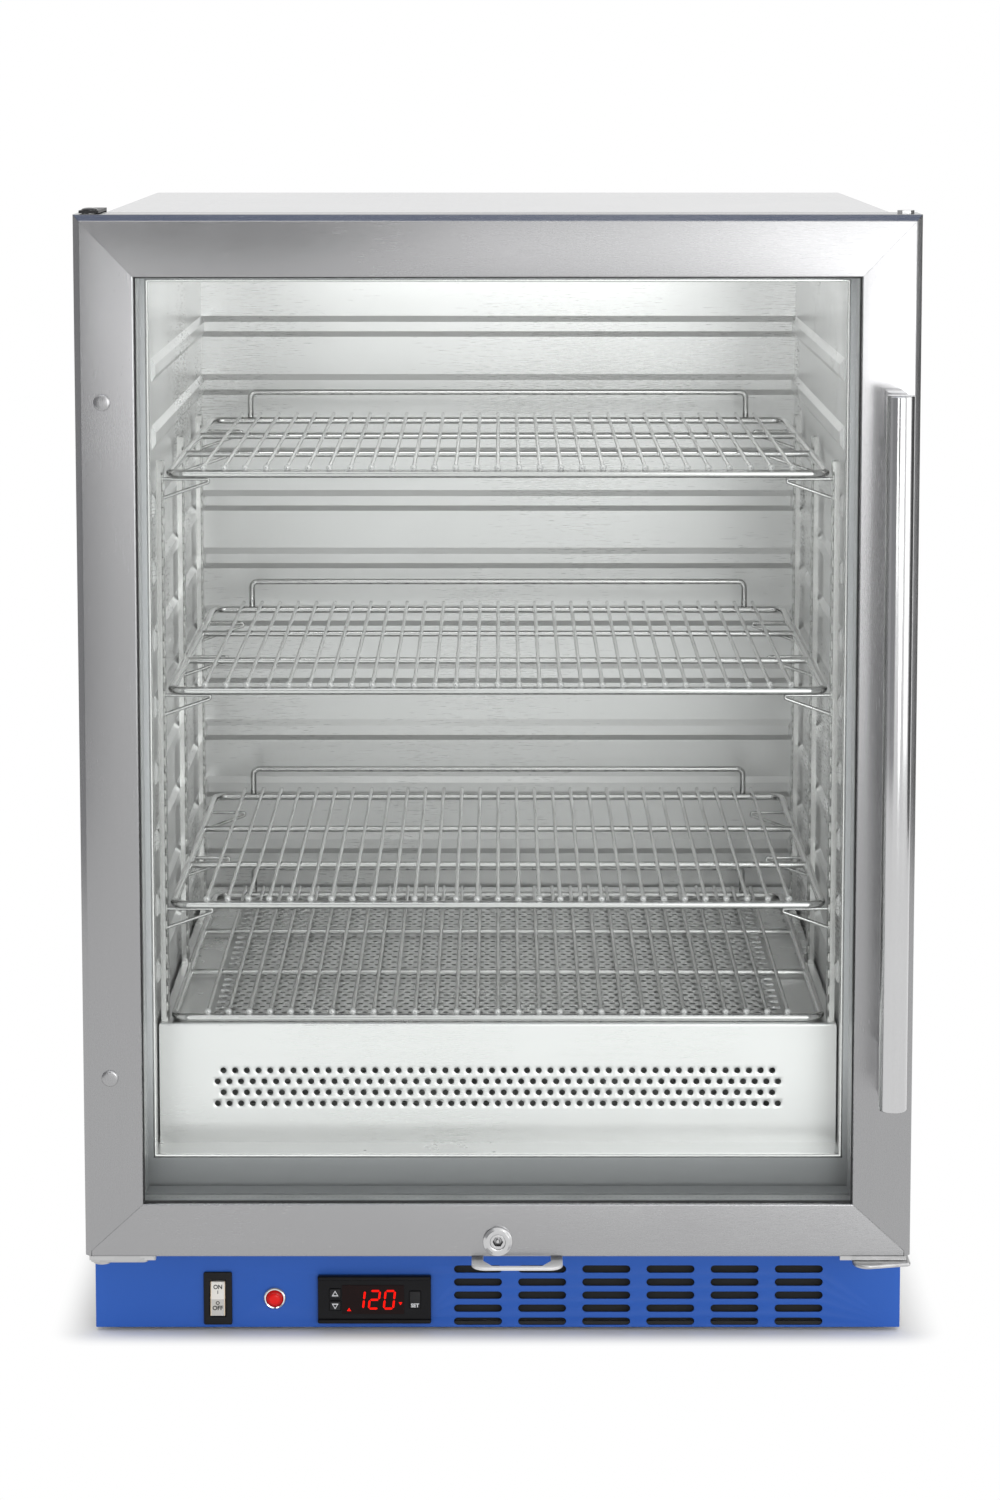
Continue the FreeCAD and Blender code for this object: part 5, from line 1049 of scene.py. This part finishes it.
def member(wide, long, near, far, place, bevel=BEVEL, slot=None):
    """A section carried along its member to the mitre planes: position is the share of its width.

    Below, the stiles' bevels run straight to the door's end and the rail starts beside them. A slot is
    a stretch from x to x whose outer edge is cut in, by (depth, depth, how far), for the lock's cam.
    """
    line = member_line(wide, bevel)
    share = low_share = line[:, 0] / wide
    if bevel < BEVEL:
        share = low_share = np.maximum(line[:, 0], BEVEL) / wide
    elif far != near:
        low_share = np.where(line[:, 0] < BEVEL + 0.2 * MM, 0, share)
    starts, ends = -long / 2 + near * low_share + JOINT, long / 2 - far * share - JOINT
    stations = [(starts, line), (ends, line)]
    if slot:
        x0, x1, d0, d1, reach = slot
        flat, cut = ([(0, d1), (into, d1), (into, d0), (0, d0)] for into in (0, reach))
        starts, ends = (np.insert(at, ON_EDGE, [at[ON_EDGE]] * 4) for at in (starts, ends))
        plain, notched = (np.insert(line, ON_EDGE, points, 0) for points in (flat, cut))
        even = np.ones(len(plain))
        stations = [
            (starts, plain), (even * x0, plain), (even * x0, notched),
            (even * x1, notched), (even * x1, plain), (ends, plain),
        ]
    points, faces = tube([place(at, section[:, 0], section[:, 1]) for at, section in stations])
    faces[-1].reverse()  # the bottom rail's end isn't flat, and this order splits it along the mitre
    return points, faces


def level_run(up, way):
    """Places a rail's section along x, its width going up or down from a height."""
    return lambda s, w, d: np.stack([s, FACE + d, up + way * w], 1)


def upright_run(x, way):
    """Places a stile's section along z, its width going right or left from x."""
    return lambda s, w, d: np.stack([x + way * w, FACE + d, DOOR_MIDDLE + s], 1)


FRAME_STEEL = (0.36, 0.36, 0.365)
SATIN = (0.18, 0.62, 0.12)  # streaks, speckle and relief
rail_steel = brushed(
    "satin_stainless_rails", FRAME_STEEL, 0.25, "x", *SATIN, Anisotropic=0.7, Anisotropic_Rotation=0.25
)
stile_steel = brushed("satin_stainless_stiles", FRAME_STEEL, 0.25, "z", *SATIN, Anisotropic=0.7)
CAM_SLOT = (-7.5 * MM, 26 * MM, 20 * MM, 24 * MM, 19.5 * MM)
members = {
    "door_rail_bottom": (LOW_RAIL, WIDE, STILE, STILE, level_run(DOOR_LOW, 1), 1 * MM, CAM_SLOT),
    "door_rail_top": (TOP_RAIL, WIDE, STILE, STILE, level_run(DOOR_TOP, -1)),
    "door_stile_left": (STILE, TALL, LOW_RAIL, TOP_RAIL, upright_run(-HALF_DOOR, 1)),
    "door_stile_right": (STILE, TALL, LOW_RAIL, TOP_RAIL, upright_run(HALF_DOOR, -1)),
}
for name, run in members.items():
    steel = rail_steel if "rail" in name else stile_steel
    piece(f"{name}_member", [member(*run)], "door", steel, [name], sharp=25)

# ---------------------------------------------------------------- glass, spacer and seals
# Two clear panes with a desiccant spacer between them, a black glazing strip under the lip, a
# grey bead behind, and a black magnetic gasket on the door's back.
glass, root = bare("clear_glass")
clear = root.node("ShaderNodeBsdfTransparent", {"Color": (0.992, 0.996, 0.994, 1)})
gloss = root.node("ShaderNodeBsdfGlossy", {"Color": (1, 1, 1, 1), "Roughness": 0.02})
edge_on = root.node("ShaderNodeLayerWeight", {"Blend": 0.12}, "Fresnel")
smear = grain(root, 6.0)
show(root.node("ShaderNodeMixShader", {0: edge_on * (0.30 + smear * 0.25), 1: clear, 2: gloss}))
dress(glass, "glass_outer", "glass_inner")

DOT_STEP = 4.2 * MM
spacer_low, spacer_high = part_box("glass_spacer")
mid_depth = (spacer_low.y + spacer_high.y) / 2


def dots(root, axis):
    """1 on the punched dots of a row along an axis, down the middle of the spacer."""
    run = (coordinate(root, axis) * (1 / DOT_STEP)).math("FRACT") - 0.5
    depth = (coordinate(root, "Y") - mid_depth) * (1 / DOT_STEP)
    return (run * run + depth * depth).math("SQRT") < 0.2


spacer, vary, root = finish("spacer_aluminium", (0.60, 0.61, 0.61), 0.42, 0.9)
row = dots(root, "X").math("MAXIMUM", dots(root, "Z"))
haze = grain(root, 30.0)
vary(
    Base_Color=(haze * 0.5 + 0.25 - row * 0.25).mix((0.30, 0.31, 0.31, 1), (0.72, 0.73, 0.73, 1)),
    Roughness=0.36 + haze * 0.12,
    Normal=dent(1 - row, 0.5, 0.0003),
)
dress(spacer, "glass_spacer")
# The bead's colour holds painted shade along its bottom run and painted light above it.
dress(strip("grey_bead_painted_light", (0.32, 0.33, 0.34), (0.92, 0.93, 0.95)), "glazing_bead")
rubber = cast("black_rubber", (0.028, 0.028, 0.029), 0.7, 1100.0, 0.35)

OPEN_HALF, OPEN_LOW, OPEN_TOP = HALF_DOOR - STILE, DOOR_LOW + LOW_RAIL, DOOR_TOP - TOP_RAIL
strip_line = arcs(np.array([(-0.3, 4.6), (1.0, 4.6), (1.0, 6), (-0.3, 6)]) * MM + (0, FACE), 0.3 * MM)
glazing = ring_of(OPEN_HALF, OPEN_LOW, OPEN_TOP, strip_line)
piece("glazing_strip", [glazing], "door", rubber)
low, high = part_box("door_gasket")
seal = [
    (0, 0), (16, 0), (16, 2.6), (13.2, 4), (12.5, 5.2), (12.5, 8.7), (11.5, 9.7), (4.5, 9.7), (3.5, 8.7),
    (3.5, 5.2), (2.8, 4), (0, 2.6),
]
gasket = ring_of(high.x, low.z, high.z, arcs(np.array(seal) * MM + (0, low.y), 0.5 * MM, 2))
piece("door_gasket_profile", [gasket], "door", rubber, ["door_gasket"])

# ---------------------------------------------------------------- handle and plugs
# A satin stainless bar, 20 mm across, on two flat posts; the left stile's spare handle holes are
# closed with small domed plugs.
low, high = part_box("handle_bar")
bar_x, bar_y, radius = (low.x + high.x) / 2, (low.y + high.y) / 2, (high.y - low.y) / 2 - 0.05 * MM
SOFT = 1.2 * MM
t = np.linspace(0, math.pi / 2, 5)
foot = np.stack([radius - SOFT + SOFT * np.sin(t), low.z + SOFT * (1 - np.cos(t))], 1)
head = np.stack([radius - SOFT + SOFT * np.cos(t), high.z - SOFT * (1 - np.sin(t))], 1)
handle_steel = brushed("satin_stainless_bar", (0.58, 0.58, 0.585), 0.16, "z", 0.3, 0.3, 0.06)
grip = np.vstack([[(0.05 * MM, low.z)], foot, head, [(0.05 * MM, high.z)]])
grip_bar = spun(grip, (bar_x, bar_y, 0), "z", 72, 1)
piece("handle_grip", [grip_bar], "door", handle_steel, ["handle_bar"], sharp=30)
POST_W, POST_H = 13 * MM, 35 * MM
post_near, post_left, post_right = bar_y + 6.2 * MM, bar_x - POST_W / 2, bar_x + POST_W / 2
posts = [
    soft_box((post_left, post_near, start), (post_right, FACE, start + POST_H), 0.7 * MM)
    for start in (low.z, high.z - POST_H)
]
piece("handle_post_pair", posts, "door", handle_steel, ["handle_posts"], sharp=30)
low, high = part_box("handle_hole_plugs")
plug_x = (low.x + high.x) / 2
button = [(6, 0), (6, 0.35), (5.7, 0.8), (5.1, 1.1), (4.0, 1.3), (2.2, 1.45), (0.05, 1.5)]
plugs = [spun(np.array(button) * MM, (plug_x, FACE, z)) for z in (low.z + 6 * MM, high.z - 6 * MM)]
plug_steel = brushed("plug_stainless", (0.38, 0.38, 0.385), 0.26, "z", streaks=0.2, speckle=0.4, relief=0.08)
piece("hole_plugs", plugs, "door", plug_steel, ["handle_hole_plugs"])

# ---------------------------------------------------------------- hinges
# Zinc-plated steel: a leaf under each lower corner of the door, a bracket below it, and a joggled
# arm over the top with a black domed cap on its pin; the right side keeps the spare fittings.
hinge_zinc = galvanised("hinge_zinc", (0.50, 0.50, 0.50), 0.34)
dress(hinge_zinc, "hinge_pins", "door_hinge_fittings")
coated = cast("black_coated_steel", (0.016, 0.016, 0.017), 0.4, 700.0, 0.2, Specular_IOR_Level=0.3)
dress(coated, "hinge_arm_top")
low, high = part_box("pin_cap")
PIN_X, pin_y = (low.x + high.x) / 2, (low.y + high.y) / 2
gloss_black = clouded(
    "gloss_black_cap", (0.012, 0.012, 0.013), ((0.009, 0.009, 0.010, 1), (0.017, 0.017, 0.018, 1)), 200.0,
    (0.15, 0.11, 0.10), Coat_Weight=0.4,
)[0]
cap = dome((high.x - low.x) / 2, high.z - low.z, edge=0.4 * MM, steps=8)
turned_cap = spun(cap, (PIN_X, pin_y, low.z), "z", 40, 1)
piece("hinge_pin_cap", [turned_cap], "cabinet", gloss_black, ["pin_cap"])

low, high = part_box("hinge_brackets_low")
PLATE, BRACKET_WIDE, NOSE = 3 * MM, 42 * MM, 8 * MM
pin_hole = stadium(PIN_X, pin_y, 8.2 * MM, 8.19 * MM, 12)
left_x = (low.x, low.x + BRACKET_WIDE)
right_x = (high.x - BRACKET_WIDE, high.x)


def bracket(ends, noses, bends, steps, holes, bevel):
    """A bracket's flat plate: from the kick panel forward to a nose depth at each side."""
    (x0, x1), (y0, y1) = ends, noses
    line = arcs([(x0, high.y), (x0, y0), (x1, y1), (x1, high.y)], np.array(bends) * MM, steps)
    return cut_plate(line, holes, PLATE, (0, 0, low.z + PLATE / 2), LYING, bevel)


plates = [
    bracket(left_x, (pin_y - NOSE, pin_y - NOSE), (0.5, 4, 4, 0.5), 8, [pin_hole], 0.5 * MM),
    bracket(right_x, (low.y, low.y + 9 * MM), (0.5, 11, 3, 0.5), 10, [], 1.2 * MM),
]
for x0, x1 in (left_x, right_x):
    plates.append(soft_box((x0, high.y - PLATE, low.z + PLATE * 0.6), (x1, high.y, high.z), 0.6 * MM))
piece("hinge_bracket_pair", plates, "cabinet", hinge_zinc, ["hinge_brackets_low"], sharp=30)
screw = dome(4 * MM, 1.8 * MM, edge=0.5 * MM)
flange_y, flange_z = high.y - 3 * MM, high.z - 5.5 * MM
arm_y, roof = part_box("hinge_arm_top")[1].y - 10 * MM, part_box("outer_wrap")[1].z + 2 * MM
screws = [
    spun(screw, (x, flange_y, flange_z), sides=28)
    for x in (PIN_X + 6 * MM, PIN_X + 24 * MM, HALF_DOOR - 9 * MM, HALF_DOOR - 33 * MM)
]
screws += [spun(screw, (PIN_X + step * MM, arm_y, roof), "z", 28, 1) for step in (6, 22)]
piece("hinge_screw_heads", screws, "cabinet", bright_zinc, ["hinge_screws"])

# ---------------------------------------------------------------- lock and strike
# A chromed tubular lock with a bevelled ring and a hexagonal recess round a centre pin; its cam
# drops into the loop of a bent steel strike under the door.
low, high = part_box("lock_barrel")
lock_x, lock_z = (low.x + high.x) / 2, (low.z + high.z) / 2
ring = [
    (5.56, -20), (8.5, -20), (8.5, 0), (10.75, 0), (10.75, 2.2), (10.5, 2.9), (9.9, 3.3), (8.9, 3.6),
    (8.4, 3.95), (7.9, 4.0), (6.1, 4.0), (5.7, 3.8), (5.56, 3.4),
]
lock_metal = chrome("lock_chrome", (0.58, 0.58, 0.585), 0.20)
lock_ring = spun(np.array(ring) * MM, (lock_x, FACE, lock_z), sides=64, hollow=True)
piece("lock_ring", [lock_ring], "door", lock_metal, ["lock_barrel"], sharp=28)
low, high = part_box("lock_plug")
PLUG_FACE, plug_long = low.y, (high.y - low.y) / MM
middle, plug_at = (lock_x, lock_z), (lock_x, low.y, lock_z)
hexagon = np.array([(math.cos(a), math.sin(a)) for a in np.arange(6) * math.pi / 3]) * 3.8 * MM
disc = stadium(lock_x, lock_z, 11.0 * MM, 10.99 * MM, 20)
stem = np.array([(0.05, -plug_long), (5.5, -plug_long), (5.5, -5), (0.05, -5)]) * MM
guide = np.array([(1.5, -5), (1.5, -1.2), (1.1, -0.8), (0.05, -0.8)]) * MM
plug = [
    upright(disc, [hexagon + middle], 5 * MM, PLUG_FACE + 2.5 * MM, 0.25 * MM),
    spun(stem, plug_at, sides=40),
    spun(guide, plug_at, sides=28),
]
piece("lock_plug_core", plug, "lock", lock_metal, ["lock_plug"], sharp=28)
keyway = cast("oxide_black_steel", (0.030, 0.030, 0.032), 0.6, 1500.0, 0.2, Specular_IOR_Level=0.2)
lining = [
    upright(hexagon * 0.985 + middle, [hexagon * 0.90 + middle], 4.2 * MM, PLUG_FACE + 2.6 * MM, 0.03 * MM),
    prism(hexagon * 0.95 + middle, "y", PLUG_FACE + 4.0 * MM, PLUG_FACE + 4.6 * MM),
]
piece("lock_keyway_lining", lining, "lock", keyway, sharp=28)
dress(hinge_zinc, "lock_cam")

low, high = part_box("lock_strike")
shift, thick, front, back = (low.x + high.x) / 2, 2.4 * MM, low.y, high.y
outline = arcs(
    [(low.x, front), (high.x, front), (high.x, back), (low.x, back)], np.array([10, 10, 0.5, 0.5]) * MM, 8
)
NARROW, BROAD = 18 * MM, 24.5 * MM  # half widths of the loop's opening
loop = [
    (shift - NARROW, front + 4 * MM), (shift + NARROW, front + 4 * MM), (shift + BROAD, FACE),
    (shift + BROAD, front + 46 * MM), (shift - BROAD, front + 46 * MM), (shift - BROAD, FACE),
]
at = (0, 0, low.z + thick / 2)
plate = cut_plate(outline, [arcs(loop, 1.2 * MM, 4)], thick, at, LYING, 0.4 * MM)
flange = soft_box((low.x, back - thick, low.z + thick * 0.5), (high.x, back, high.z), 0.6 * MM)
strike_metal = brushed("strike_steel", (0.64, 0.64, 0.64), 0.42, "x", 0.2, 0.4, 0.15, Metallic=0.35)
strike = [plate, flange]
piece("strike_loop_plate", strike, "cabinet", strike_metal, ["lock_strike"], sharp=30)
